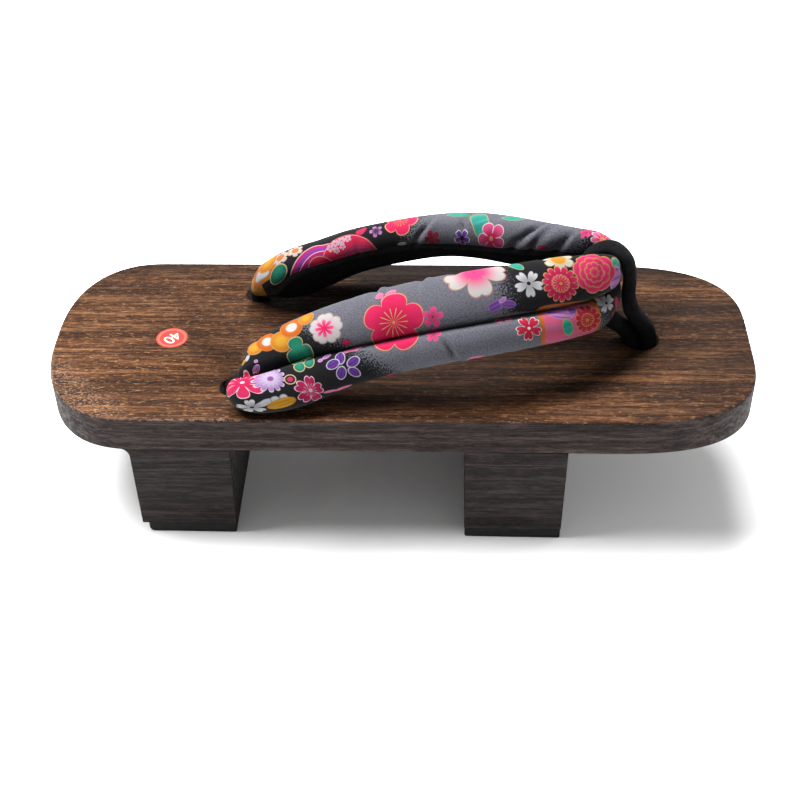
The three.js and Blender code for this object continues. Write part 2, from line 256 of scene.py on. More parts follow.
def add_rod(bm, start, end, radius, sides):
    """A straight round rod with closed ends."""
    span = end - start
    turn = span.to_track_quat("Z", "Y").to_matrix().to_4x4()
    place = Matrix.Translation((start + end) / 2) @ turn
    bmesh.ops.create_cone(bm, cap_ends=True, segments=sides, radius1=radius, radius2=radius,
                          depth=span.length, matrix=place)


def add_skin(bm, rings):
    """A closed skin through equal rings of points. Gives the rings of vertices."""
    loops = []
    for points in rings:
        made = bmesh.ops.create_circle(bm, segments=len(points), radius=1.0)
        for vert, point in zip(made["verts"], points):
            vert.co = point
        loops.append(made["verts"])
    edges = [[edge for edge in set(e for v in loop for e in v.link_edges)] for loop in loops]
    for near, far in zip(edges, edges[1:]):
        bmesh.ops.bridge_loops(bm, edges=near + far)
    for loop in (loops[0], loops[-1]):
        bm.faces.new(loop)
    return loops


# -------------------------------------------------------------- shader node tools


class Nodes:
    """Short ways to add nodes to one node tree."""

    def __init__(self, tree):
        self.tree = tree

    def add(self, kind, settings=None, **inputs):
        node = self.tree.nodes.new(kind)
        for key, value in (settings or {}).items():
            setattr(node, key, value)
        for key, value in inputs.items():
            self.feed(node.inputs[key.replace("_", " ")], value)
        return node

    def feed(self, socket, value):
        if isinstance(value, bpy.types.NodeSocket):
            self.tree.links.new(value, socket)
        else:
            socket.default_value = value

    def math(self, operation, a, b=0.0, c=0.0):
        node = self.add("ShaderNodeMath", {"operation": operation})
        for socket, value in zip(node.inputs, (a, b, c)):
            self.feed(socket, value)
        return node.outputs[0]

    def times(self, first, *others):
        for other in others:
            first = self.math("MULTIPLY", first, other)
        return first

    def plus(self, first, *others):
        for other in others:
            first = self.math("ADD", first, other)
        return first

    def minus(self, a, b):
        return self.math("SUBTRACT", a, b)

    def over(self, a, b):
        return self.math("DIVIDE", a, b)

    def times_plus(self, a, b, c):
        return self.math("MULTIPLY_ADD", a, b, c)

    def power(self, a, b):
        return self.math("POWER", a, b)

    def absolute(self, a):
        return self.math("ABSOLUTE", a)

    def mix(self, factor, a, b, blend="MIX"):
        node = self.add("ShaderNodeMix", {"data_type": "RGBA", "blend_type": blend})
        for index, value in ((0, factor), (6, a), (7, b)):
            self.feed(node.inputs[index], value)
        return node.outputs[2]

    def lay(self, mask, coat, under):
        """A coat, given as its strength and colour, over a colour where the mask is."""
        strength, colour = coat
        return self.mix(self.times(mask, strength), under, linear(*colour))

    def step(self, value, low, high, out_low=0.0, out_high=1.0):
        """A soft step: out_low below low, out_high above high."""
        node = self.add("ShaderNodeMapRange", {"interpolation_type": "SMOOTHSTEP"})
        for index, given in enumerate((value, low, high, out_low, out_high)):
            self.feed(node.inputs[index], given)
        return node.outputs[0]

    def ramp(self, value, stops):
        node = self.add("ShaderNodeValToRGB", Fac=value)
        elements = node.color_ramp.elements
        elements.remove(elements[1])
        elements[0].position, elements[0].color = stops[0]
        for place, colour in stops[1:]:
            elements.new(place).color = colour
        return node.outputs[0]

    def tones(self, value, stops):
        return self.ramp(value, [(at, linear(*colour)) for at, colour in stops])

    def noise(self, vector, scale, detail=3.0, roughness=0.55):
        node = self.add("ShaderNodeTexNoise", Vector=vector, Scale=scale, Detail=detail,
                        Roughness=roughness)
        return node.outputs[0]

    def stretch(self, vector, scale):
        return self.add("ShaderNodeMapping", Vector=vector, Scale=scale).outputs[0]

    def split(self, vector):
        return self.add("ShaderNodeSeparateXYZ", Vector=vector).outputs

    def bump(self, height, strength, distance):
        return self.add("ShaderNodeBump", Height=height, Strength=strength,
                        Distance=distance).outputs[0]

    def group(self, tree, **inputs):
        node = self.tree.nodes.new("ShaderNodeGroup")
        node.node_tree = tree
        for key, value in inputs.items():
            self.feed(node.inputs[key.replace("_", " ")], value)
        return node.outputs


def new_group(name, inputs, outputs):
    """A shader node group with named sockets: (name, kind) in and out."""
    kinds = {"value": "NodeSocketFloat", "colour": "NodeSocketColor", "vector": "NodeSocketVector"}
    tree = bpy.data.node_groups.new(name, "ShaderNodeTree")
    for title, kind in inputs:
        tree.interface.new_socket(title, in_out="INPUT", socket_type=kinds[kind])
    for title, kind in outputs:
        tree.interface.new_socket(title, in_out="OUTPUT", socket_type=kinds[kind])
    nodes = Nodes(tree)
    source = tree.nodes.new("NodeGroupInput").outputs
    sink = tree.nodes.new("NodeGroupOutput").inputs
    return tree, nodes, source, sink


def named(kind, *titles):
    """Sockets of one kind, for new_group."""
    return [(title, kind) for title in titles]


def new_material(name, **shader):
    """A material with one Principled shader, and the values that are the same all over."""
    material = bpy.data.materials.new(name)
    material.use_nodes = True
    nodes = Nodes(material.node_tree)
    principled = material.node_tree.nodes["Principled BSDF"]
    for key, value in shader.items():
        principled.inputs[key.replace("_", " ")].default_value = value
    return material, nodes, principled.inputs


# ------------------------------------------------------------------ camera, stage

# Where the camera stands, in mm, its axes, and its lens.
CAMERA = {
    "place": (18.773, -418.488, 377.87),
    "right": (0.99629, 0.07184, -0.04733),
    "up": (-0.01121, 0.65386, 0.75653),
    "back": (0.08530, -0.75320, 0.65224),
    "lens": 64.38,
    "shift": (0.0949, 0.0237),
}


def make_camera():
    data = bpy.data.cameras.new("camera")
    data.lens = CAMERA["lens"]
    data.sensor_width = 36.0
    data.shift_x, data.shift_y = CAMERA["shift"]
    data.clip_start = 0.01
    camera = bpy.data.objects.new("camera", data)
    bpy.context.collection.objects.link(camera)
    axes = Matrix((CAMERA["right"], CAMERA["up"], CAMERA["back"])).transposed()
    camera.matrix_world = Matrix.Translation(Vector(CAMERA["place"]) * MM) @ axes.to_4x4()
    bpy.context.scene.camera = camera


STAGE_HALF = 3.0


def make_stage():
    bm = bmesh.new()
    bmesh.ops.create_grid(bm, x_segments=1, y_segments=1, size=STAGE_HALF)
    mesh = bpy.data.meshes.new("floor")
    bm.to_mesh(mesh)
    bm.free()
    floor = bpy.data.objects.new("floor", mesh)
    bpy.context.collection.objects.link(floor)
    material, _, _ = new_material("floor", Base_Color=(0.9, 0.9, 0.9, 1.0), Roughness=0.9,
                                  Specular_IOR_Level=0.1)
    mesh.materials.append(material)
    return floor


# Each lamp: place and aim in metres, the sides of its panel, and watts.
LAMPS = {
    "key": ((-0.27, 0.31, 1.10), (0.0, 0.0, 0.05), (1.4, 0.3), 60.0),
    "toe fill": ((0.55, 0.36, 0.035), (0.05, 0.0, 0.035), (0.5, 0.06), 10.0),
    "heel fill": ((-0.60, 0.10, 0.035), (-0.1, 0.0, 0.035), (0.3, 0.06), 6.0),
}
# These two light only the floor, so that it is paler under the toe and the heel.
FLOOR_LAMPS = ("toe fill", "heel fill")
SKY_STRENGTH = 0.40


def make_lights(floor):
    world = bpy.data.worlds.new("studio")
    bpy.context.scene.world = world
    world.use_nodes = True
    background = world.node_tree.nodes["Background"].inputs
    background["Color"].default_value = (1.0, 1.0, 1.0, 1.0)
    background["Strength"].default_value = SKY_STRENGTH
    floor_only = bpy.data.collections.new("floor only")
    floor_only.objects.link(floor)
    for name, (place, aim, size, watts) in LAMPS.items():
        data = bpy.data.lights.new(name, "AREA")
        data.shape = "RECTANGLE"
        data.size, data.size_y = size
        data.energy = watts
        lamp = bpy.data.objects.new(name, data)
        bpy.context.collection.objects.link(lamp)
        look = (Vector(aim) - Vector(place)).to_track_quat("-Z", "Y").to_matrix().to_4x4()
        lamp.matrix_world = Matrix.Translation(place) @ look
        if name in FLOOR_LAMPS:
            lamp.light_linking.receiver_collection = floor_only
    bpy.context.scene.view_settings.view_transform = "Standard"


make_camera()
make_lights(make_stage())


# ------------------------------------------------------------------ wood material

# How light the board's top is from its near edge to its far one: (mm across, lightness). The bands
# are the wood's own tone, except the bright band on the near edge, which is a painted highlight,
# and at the toe the darker bands round the strap and thong, which are partly painted shade.
HEEL_TONE_AND_HIGHLIGHT_BANDS = [
    (-48.0, 1.30), (-46.4, 1.10), (-34.0, 1.14), (-31.0, 1.22), (-30.0, 0.92), (-22.0, 1.02),
    (-12.0, 1.06), (-3.0, 1.00), (-1.2, 0.86), (3.0, 0.78), (9.0, 0.76), (15.0, 0.82),
    (22.5, 0.76), (23.4, 0.94), (30.0, 0.76), (37.2, 0.66), (38.6, 0.44), (48.0, 0.42),
]
TOE_TONE_HIGHLIGHT_AND_SHADE_BANDS = [
    (-48.0, 1.25), (-46.4, 1.12), (-38.0, 1.14), (-33.0, 1.20), (-30.0, 0.95), (-27.0, 0.82),
    (-25.0, 0.80), (-24.4, 1.50), (-22.5, 1.30), (-19.0, 0.85), (-12.0, 0.62), (-2.0, 0.48),
    (0.6, 0.52), (1.2, 1.15), (2.6, 0.85), (6.0, 0.64), (14.0, 0.57), (22.0, 0.62),
    (26.0, 0.64), (27.0, 1.30), (28.6, 0.82), (33.0, 0.92), (37.0, 0.86), (39.0, 0.50),
    (48.0, 0.45),
]
BANDS_MEET = (5.0, 65.0)
BAND_REACH = 48.0
BAND_SWAY = {"along": 0.016, "width": 6.0}
# Darker from heel to toe: the gradient is painted shade, and the clouds over it are burn. Where the
# gradient starts and ends along the board, its depth, and the clouds' strength.
BURN_AND_TOE_SHADE = {"from": -60.0, "to": 125.0, "depth": 0.34, "cloud": 0.32}
# Painted shade under and beside the strap's arms: where each patch comes and goes along the board,
# and across it.
PAINTED_SHADE_PATCHES = [
    {"rise": (-48.0, -8.0), "fall": (56.0, 82.0), "across": (2.0, 15.0), "depth": 0.66},
    {"rise": (-40.0, -5.0), "fall": (34.0, 54.0), "across": (-43.0, -34.0), "depth": 0.5},
]

# The grain's noises: how fast they change along and across it, scale, detail, roughness.
GRAIN = {
    "wide": (0.014, 0.42, 1.0, 4.0, 0.65),
    "fine": (0.09, 1.05, 1.0, 6.0, 0.8),
    "Fleck": (0.30, 1.15, 1.0, 4.0, 0.8),
    "Pore": (0.28, 1.35, 1.2, 4.0, 0.75),
    "Cloud": (0.022, 0.06, 1.0, 3.0, 0.55),
}
WIDE_SHARE = 0.48
# Where each noise starts and ends to count.
GRAIN_LIMITS = {"Streak": (0.39, 0.62), "Fleck": (0.54, 0.66), "Pore": (0.53, 0.65),
                "Cloud": (0.40, 0.62)}

# Tones are given as (place on the ramp, colour), and coats as (strength, colour).
BOARD_WOOD = {
    "top": [(0.0, (50, 29, 16)), (0.35, (83, 50, 29)), (0.65, (113, 72, 42)),
            (1.0, (154, 104, 66))],
    "top_pores": (0.66, (34, 19, 12)),
    "top_flecks": (0.74, (202, 148, 100)),
    # Burn, with painted shade towards the toe; then painted shade under the strap.
    "burnt_and_shaded": (34, 22, 18),
    "painted_shade": (20, 16, 15),
    "side": [(0.0, (40, 33, 31)), (0.5, (66, 55, 53)), (1.0, (98, 84, 79))],
    "side_pores": (0.6, (26, 22, 22)),
    "side_flecks": (0.4, (112, 88, 76)),
    # Pale flecks on the top's edge: wear, with a painted highlight.
    "worn_and_highlit": (0.8, (158, 128, 110)),
    "glints": (0.6, (208, 176, 152)),
}
# Depths below the board's top, from lower to higher: where its brown starts, where the pale flecks
# on its edge (wear, with a painted highlight) start, where they stop, and where glints start.
BROWN_DEPTH = (0.45, 0.15)
WORN_AND_HIGHLIT_DEPTH = (0.9, 0.5)
WORN_AND_HIGHLIT_STOP = (0.01, 0.1)
GLINT_DEPTH = (0.6, 0.3)
# The pale flecks on the top's edge, partly wear and partly painted highlight: their noise, where
# along x + y they get heavier, and how much of the edge stays clear of them.
WEAR_AND_HIGHLIGHT = {"fine": (0.5, 0.7, 1.2), "noise": (1.0, 4.0, 0.7), "heavier": (-60.0, -110.0),
        "whole": (0.60, 0.50), "soft": 0.07}
# Fine glints on the heel's near corner, where x + y falls below these.
GLINTS = {"fine": (0.8, 1.6, 1.6), "noise": (1.0, 4.0, 0.75), "corner": (-131.0, -144.0),
          "limits": (0.52, 0.62)}

TOOTH_WOOD = {
    "face": [(0.0, (30, 25, 25)), (0.5, (46, 40, 40)), (1.0, (70, 62, 61))],
    "pores": (0.5, (20, 17, 17)),
    "flecks": (0.5, (98, 68, 52)),
    "ridge": (0.45, (104, 82, 70)),
    "groove": (0.85, (12, 10, 10)),
}
# The joint's line: how fast and how far it sways, half widths from faint to full of its
# groove and of the ridge under it, and how far down the ridge is.
JOINT = {"waves": 0.12, "sway": 1.6, "groove": (0.3, 0.1), "ridge": (0.4, 0.1), "ridge_down": 0.5}

TREAD_DUST = {"fine": (0.15, 0.15, 0.6), "noise": (1.0, 4.0, 0.65), "limits": (0.45, 0.75),
              "matt": (0.3, 0.8),
              "clean": (20, 19, 20), "dusty": (32, 30, 31)}


def make_grain_group():
    """Straight brushed grain along X, for a place in millimetres."""
    tree, n, source, sink = new_group(
        "wood grain", named("vector", "Place"), named("value", *GRAIN_LIMITS))
    noises = {}
    for name, (along, across, scale, detail, roughness) in GRAIN.items():
        stretched = n.stretch(source["Place"], (along, across, across))
        noises[name] = n.noise(stretched, scale, detail, roughness)
    noises["Streak"] = n.plus(n.times(noises["wide"], WIDE_SHARE),
                              n.times(noises["fine"], 1.0 - WIDE_SHARE))
    for name, limits in GRAIN_LIMITS.items():
        n.feed(sink[name], n.step(noises[name], *limits))
    return tree


def add_place(n):
    """Object coordinates in millimetres."""
    place = n.add("ShaderNodeTexCoord").outputs["Object"]
    return n.stretch(place, (1 / MM, 1 / MM, 1 / MM))


def add_bands(n, across, bands):
    """Half of each band's lightness, for a place from the near edge (0) to the far one (1)."""
    stops = [((at + BAND_REACH) / (2 * BAND_REACH), (light / 2, light / 2, light / 2, 1.0))
             for at, light in bands]
    return n.ramp(across, stops)


def below_top(depths):
    return [BOARD_TOP - depth for depth in depths]


def add_board_top(n, x, y, place, grain):
    """The charred and brushed brown of the board's top, with painted shade towards the toe and
    under the strap, and a painted highlight along its near edge.
    """
    top = n.tones(grain["Streak"], BOARD_WOOD["top"])
    top = n.lay(grain["Pore"], BOARD_WOOD["top_pores"], top)
    top = n.lay(grain["Fleck"], BOARD_WOOD["top_flecks"], top)
    sway = n.noise(n.stretch(place, (BAND_SWAY["along"], 0.0, 0.0)), 1.0)
    sway = n.times(n.minus(sway, 0.5), BAND_SWAY["width"])
    across = n.over(n.plus(y, sway, BAND_REACH), 2 * BAND_REACH)
    # Tone bands, with a painted highlight along the near edge and, at the toe, painted shade round
    # the strap and thong.
    bands = n.mix(n.step(x, *BANDS_MEET), add_bands(n, across, HEEL_TONE_AND_HIGHLIGHT_BANDS),
                  add_bands(n, across, TOE_TONE_HIGHLIGHT_AND_SHADE_BANDS))
    halved = n.mix(1.0, top, bands, "MULTIPLY")
    top = n.mix(1.0, halved, halved, "ADD")
    # Painted shade growing towards the toe, with random clouds of burn over it.
    burnt_and_shaded = n.times(n.step(x, BURN_AND_TOE_SHADE["from"], BURN_AND_TOE_SHADE["to"]), BURN_AND_TOE_SHADE["depth"])
    burnt_and_shaded = n.plus(burnt_and_shaded, n.times(grain["Cloud"], BURN_AND_TOE_SHADE["cloud"]))
    top = n.mix(burnt_and_shaded, top, linear(*BOARD_WOOD["burnt_and_shaded"]))
    # Painted shade under and beside the strap's arms.
    for shade_patch in PAINTED_SHADE_PATCHES:
        patch = n.times(n.step(x, *shade_patch["rise"]), n.step(x, *shade_patch["fall"], 1.0, 0.0),
                        n.step(n.plus(y, sway), *shade_patch["across"]))
        top = n.lay(patch, (shade_patch["depth"], BOARD_WOOD["painted_shade"]), top)
    return top


def make_board_wood(grain_group):
    material, n, shader = new_material("burnt board wood", Specular_IOR_Level=0.1)
    place = add_place(n)
    x, y, z = n.split(place)
    grain = n.group(grain_group, Place=place)
    top = add_board_top(n, x, y, place, grain)
    side = n.tones(grain["Streak"], BOARD_WOOD["side"])
    side = n.lay(grain["Pore"], BOARD_WOOD["side_pores"], side)
    side = n.lay(grain["Fleck"], BOARD_WOOD["side_flecks"], side)
    colour = n.mix(n.step(z, *below_top(BROWN_DEPTH)), side, top)
    corner = n.plus(x, y)
    # Pale flecks on the top's rounded edge: wear, with a painted highlight in them.
    edge_fleck_noise = n.noise(n.stretch(place, WEAR_AND_HIGHLIGHT["fine"]), *WEAR_AND_HIGHLIGHT["noise"])
    whole = n.step(corner, *WEAR_AND_HIGHLIGHT["heavier"], *WEAR_AND_HIGHLIGHT["whole"])
    worn_and_highlit = n.times(n.step(z, *below_top(WORN_AND_HIGHLIT_DEPTH)), n.step(z, *below_top(WORN_AND_HIGHLIT_STOP)),
                   n.step(n.minus(edge_fleck_noise, whole), 0.0, WEAR_AND_HIGHLIGHT["soft"]))
    colour = n.lay(worn_and_highlit, BOARD_WOOD["worn_and_highlit"], colour)
    sparkle = n.noise(n.stretch(place, GLINTS["fine"]), *GLINTS["noise"])
    glint = n.times(n.step(corner, *GLINTS["corner"]), n.step(sparkle, *GLINTS["limits"]),
                    n.step(z, *below_top(GLINT_DEPTH)))
    n.feed(shader["Base Color"], n.lay(glint, BOARD_WOOD["glints"], colour))
    n.feed(shader["Roughness"], n.step(grain["Streak"], 0.0, 1.0, 0.68, 0.5))
    height = n.minus(grain["Streak"], n.times(grain["Pore"], 0.8))
    n.feed(shader["Normal"], n.bump(height, 0.6, 0.0003))
    return material


def make_tooth_wood(grain_group):
    material, n, shader = new_material("dark tooth wood", Specular_IOR_Level=0.12)
    place = add_place(n)
    x, _, z = n.split(place)
    grain = n.group(grain_group, Place=place)
    colour = n.tones(grain["Streak"], TOOTH_WOOD["face"])
    colour = n.lay(grain["Pore"], TOOTH_WOOD["pores"], colour)
    colour = n.lay(grain["Fleck"], TOOTH_WOOD["flecks"], colour)
    sway = n.noise(n.stretch(place, (JOINT["waves"], JOINT["waves"], 0.0)), 1.0)
    below = n.plus(n.minus(BOARD_BASE - TOOTH_JOINT, z), n.times(sway, JOINT["sway"]))
    front = n.math("GREATER_THAN", x, 0.0)
    groove = n.step(n.absolute(below), *JOINT["groove"])
    ridge = n.step(n.absolute(n.plus(below, JOINT["ridge_down"])), *JOINT["ridge"])
    colour = n.lay(n.times(ridge, front), TOOTH_WOOD["ridge"], colour)
    colour = n.lay(n.times(groove, front), TOOTH_WOOD["groove"], colour)
    n.feed(shader["Base Color"], colour)
    n.feed(shader["Roughness"], n.step(grain["Streak"], 0.0, 1.0, 0.7, 0.54))
    n.feed(shader["Normal"], n.bump(n.minus(grain["Streak"], grain["Pore"]), 0.5, 0.0003))
    return material


def make_tread_rubber():
    material, n, shader = new_material("tread rubber", Specular_IOR_Level=0.3)
    place = add_place(n)
    dust = n.noise(n.stretch(place, TREAD_DUST["fine"]), *TREAD_DUST["noise"])
    clean, dusty = linear(*TREAD_DUST["clean"]), linear(*TREAD_DUST["dusty"])
    n.feed(shader["Base Color"], n.mix(n.step(dust, *TREAD_DUST["limits"]), clean, dusty))
    n.feed(shader["Roughness"], n.step(dust, *TREAD_DUST["matt"], 0.7, 0.9))
    n.feed(shader["Normal"], n.bump(n.noise(place, 1.5, 3.0), 0.2, 0.0002))
    return material


# ------------------------------------------------------------------ board and teeth


def board_outline():
    """Points round the board: straight sides and four superellipse corners."""
    points = []
    quarter = OUTLINE_POINTS // 4
    for end, side, backwards in ((1, 1, False), (-1, 1, True), (-1, -1, False), (1, -1, True)):
        corner = TOE_CORNER if end > 0 else HEEL_CORNER
        half_width = BOARD["half_toe"] if end > 0 else BOARD["half_heel"]
        for i in range(quarter):
            share = i / (quarter - 1)
            angle = math.radians(90 * (1 - share if backwards else share))
            along = power(math.cos(angle), 2 / corner["square"]) - 1
            across = power(math.sin(angle), 2 / corner["square"]) - 1
            points.append((end * (HALF_LENGTH + corner["along"] * along),
                           side * (half_width + corner["across"] * across)))
    return points


def lift_face(bm, move):
    """Draws the only face out to a solid."""
    raised = bmesh.ops.extrude_face_region(bm, geom=bm.faces[:])
    moved = [item for item in raised["geom"] if isinstance(item, bmesh.types.BMVert)]
    bmesh.ops.translate(bm, vec=move, verts=moved)
    bmesh.ops.recalc_face_normals(bm, faces=bm.faces)


def round_off(bm, parts, offset, steps, affect="EDGES"):
    bmesh.ops.bevel(bm, geom=parts, offset=offset, segments=steps, profile=0.5,
                    affect=affect, material=-1, clamp_overlap=True)


def make_board(wood):
    bm = bmesh.new()
    made = bmesh.ops.create_circle(bm, cap_ends=True, segments=OUTLINE_POINTS, radius=1.0)
    for vert, (x, y) in zip(made["verts"], board_outline()):
        vert.co = (x, y, BOARD_BASE)
    lift_face(bm, (0, 0, BOARD_TOP - BOARD_BASE))
    for height, rounding in ((BOARD_TOP, BOARD["top_round"]), (BOARD_BASE, BOARD["low_round"])):
        rim = [edge for edge in bm.edges
               if all(abs(vert.co.z - height) < TOLERANCE for vert in edge.verts)]
        round_off(bm, rim, rounding, BOARD["edge_steps"])
    flats = [face for face in bm.faces if len(face.verts) >= OUTLINE_POINTS // 2]
    bmesh.ops.inset_individual(bm, faces=flats, thickness=BOARD["flat_rim"])
    board = finish_piece("board_wood", bm, [wood], ["board"])
    holes = bmesh.new()
    toe, overrun = TOE_HOLE["x"], Vector((0, 0, HOLE_OVERRUN))
    add_rod(holes, Vector((toe, 0, BOARD_BASE)) - overrun, Vector((toe, 0, BOARD_TOP)) + overrun,
            TOE_HOLE["radius"], HOLE_SIDES)
    for side in REAR_HOLE_SIDE.values():
        top_end, base_end, along = rear_hole_axis(side)
        add_rod(holes, top_end - along * HOLE_OVERRUN, base_end + along * HOLE_OVERRUN,
                REAR_HOLE["radius"], HOLE_SIDES)
    cut_away(board, holes)


def rear_hole_axis(side):
    top_end = Vector((side["x"], side["top"], BOARD_TOP))
    base_end = Vector((side["x"] + REAR_HOLE["forward"], side["base"], BOARD_BASE))
    return top_end, base_end, (base_end - top_end).normalized()


def tooth_profile(middle, cove):
    """The tooth's outline seen from the side, as (along, up)."""
    half_top = TOOTH["long"] / 2
    half_low = half_top - TOOTH["taper"] * (BOARD_BASE - TREAD["thick"])
    points = [(middle - half_low, TREAD["thick"]), (middle + half_low, TREAD["thick"]),
              (middle + half_top, BOARD_BASE)]
    if not cove:
        return points + [(middle - half_top, BOARD_BASE)]
    for i in range(COVE_STEPS + 1):
        angle = math.radians(90 * (1 - i / COVE_STEPS))
        points.append((middle - half_top - cove + cove * math.cos(angle),
                       BOARD_BASE - cove + cove * math.sin(angle)))
    return points


def make_tooth(end, wood):
    bm = bmesh.new()
    reach = TOOTH["half_width"]
    corners = [bm.verts.new((x, -reach, z)) for x, z in tooth_profile(TOOTH_X[end], COVE[end])]
    bm.faces.new(corners)
    lift_face(bm, (0, 2 * reach, 0))
    upright = [edge for edge in bm.edges
               if abs(edge.verts[0].co.z - edge.verts[1].co.z) > BOARD_BASE / 2]
    round_off(bm, upright, TOOTH["edge"], TOOTH["edge_steps"])
    finish_piece(f"tooth_{end}_wood", bm, [wood], [f"tooth_{end}"], CRISP)


def make_tread(end, rubber):
    bm = bmesh.new()
    bmesh.ops.create_grid(bm, x_segments=1, y_segments=1, size=1.0)
    half_low = TOOTH["long"] / 2 - TOOTH["taper"] * (BOARD_BASE - TREAD["thick"])
    heel_inset, heel_corner = TREAD_HEEL[end]
    reach = half_low - (heel_inset + TREAD["inset"]) / 2
    middle = TOOTH_X[end] + (heel_inset - TREAD["inset"]) / 2
    bmesh.ops.scale(bm, vec=(reach, TOOTH["half_width"] - TREAD["inset"], 1), verts=bm.verts)
    bmesh.ops.translate(bm, vec=(middle, 0, 0), verts=bm.verts)
    for side, corner in ((-1, heel_corner), (1, TREAD_TOE_CORNER)):
        found = [vert for vert in bm.verts
                 if abs(vert.co.x - middle - side * reach) < TOLERANCE]
        round_off(bm, found, corner, TREAD["corner_steps"], "VERTICES")
    lift_face(bm, (0, 0, TREAD["thick"]))
    rims = [edge for edge in bm.edges if edge.verts[0].co.z == edge.verts[1].co.z]
    round_off(bm, rims, TREAD["edge"], TREAD["edge_steps"])
    finish_piece(f"tread_{end}_rubber", bm, [rubber], [f"tread_{end}"], CRISP)


grain_group = make_grain_group()
make_board(make_board_wood(grain_group))
tooth_wood = make_tooth_wood(grain_group)
tread_rubber = make_tread_rubber()
for end in TOOTH_X:
    make_tooth(end, tooth_wood)
    make_tread(end, tread_rubber)


# ------------------------------------------------------------------ printed cloth

GOLD = (196, 158, 84)
WHITE = (236, 232, 236)
BLACK = (17, 16, 20)
SHADE = (10, 10, 12)
INK_LEVEL = 0.78

# Kinds of printed flower: petals, rows of petals, depth of the gaps between them, depth of
# the notch in each petal's tip, size of the heart, strength of the stamens and of the lines
# between petals, then the colours of petal tip, petal foot, heart and outline.
FLOWER_VALUES = ("Petals", "Rows", "Gap", "Notch", "Heart", "Stamens", "Seams")
FLOWER_COLOURS = ("Tip", "Foot", "Core", "Outline")
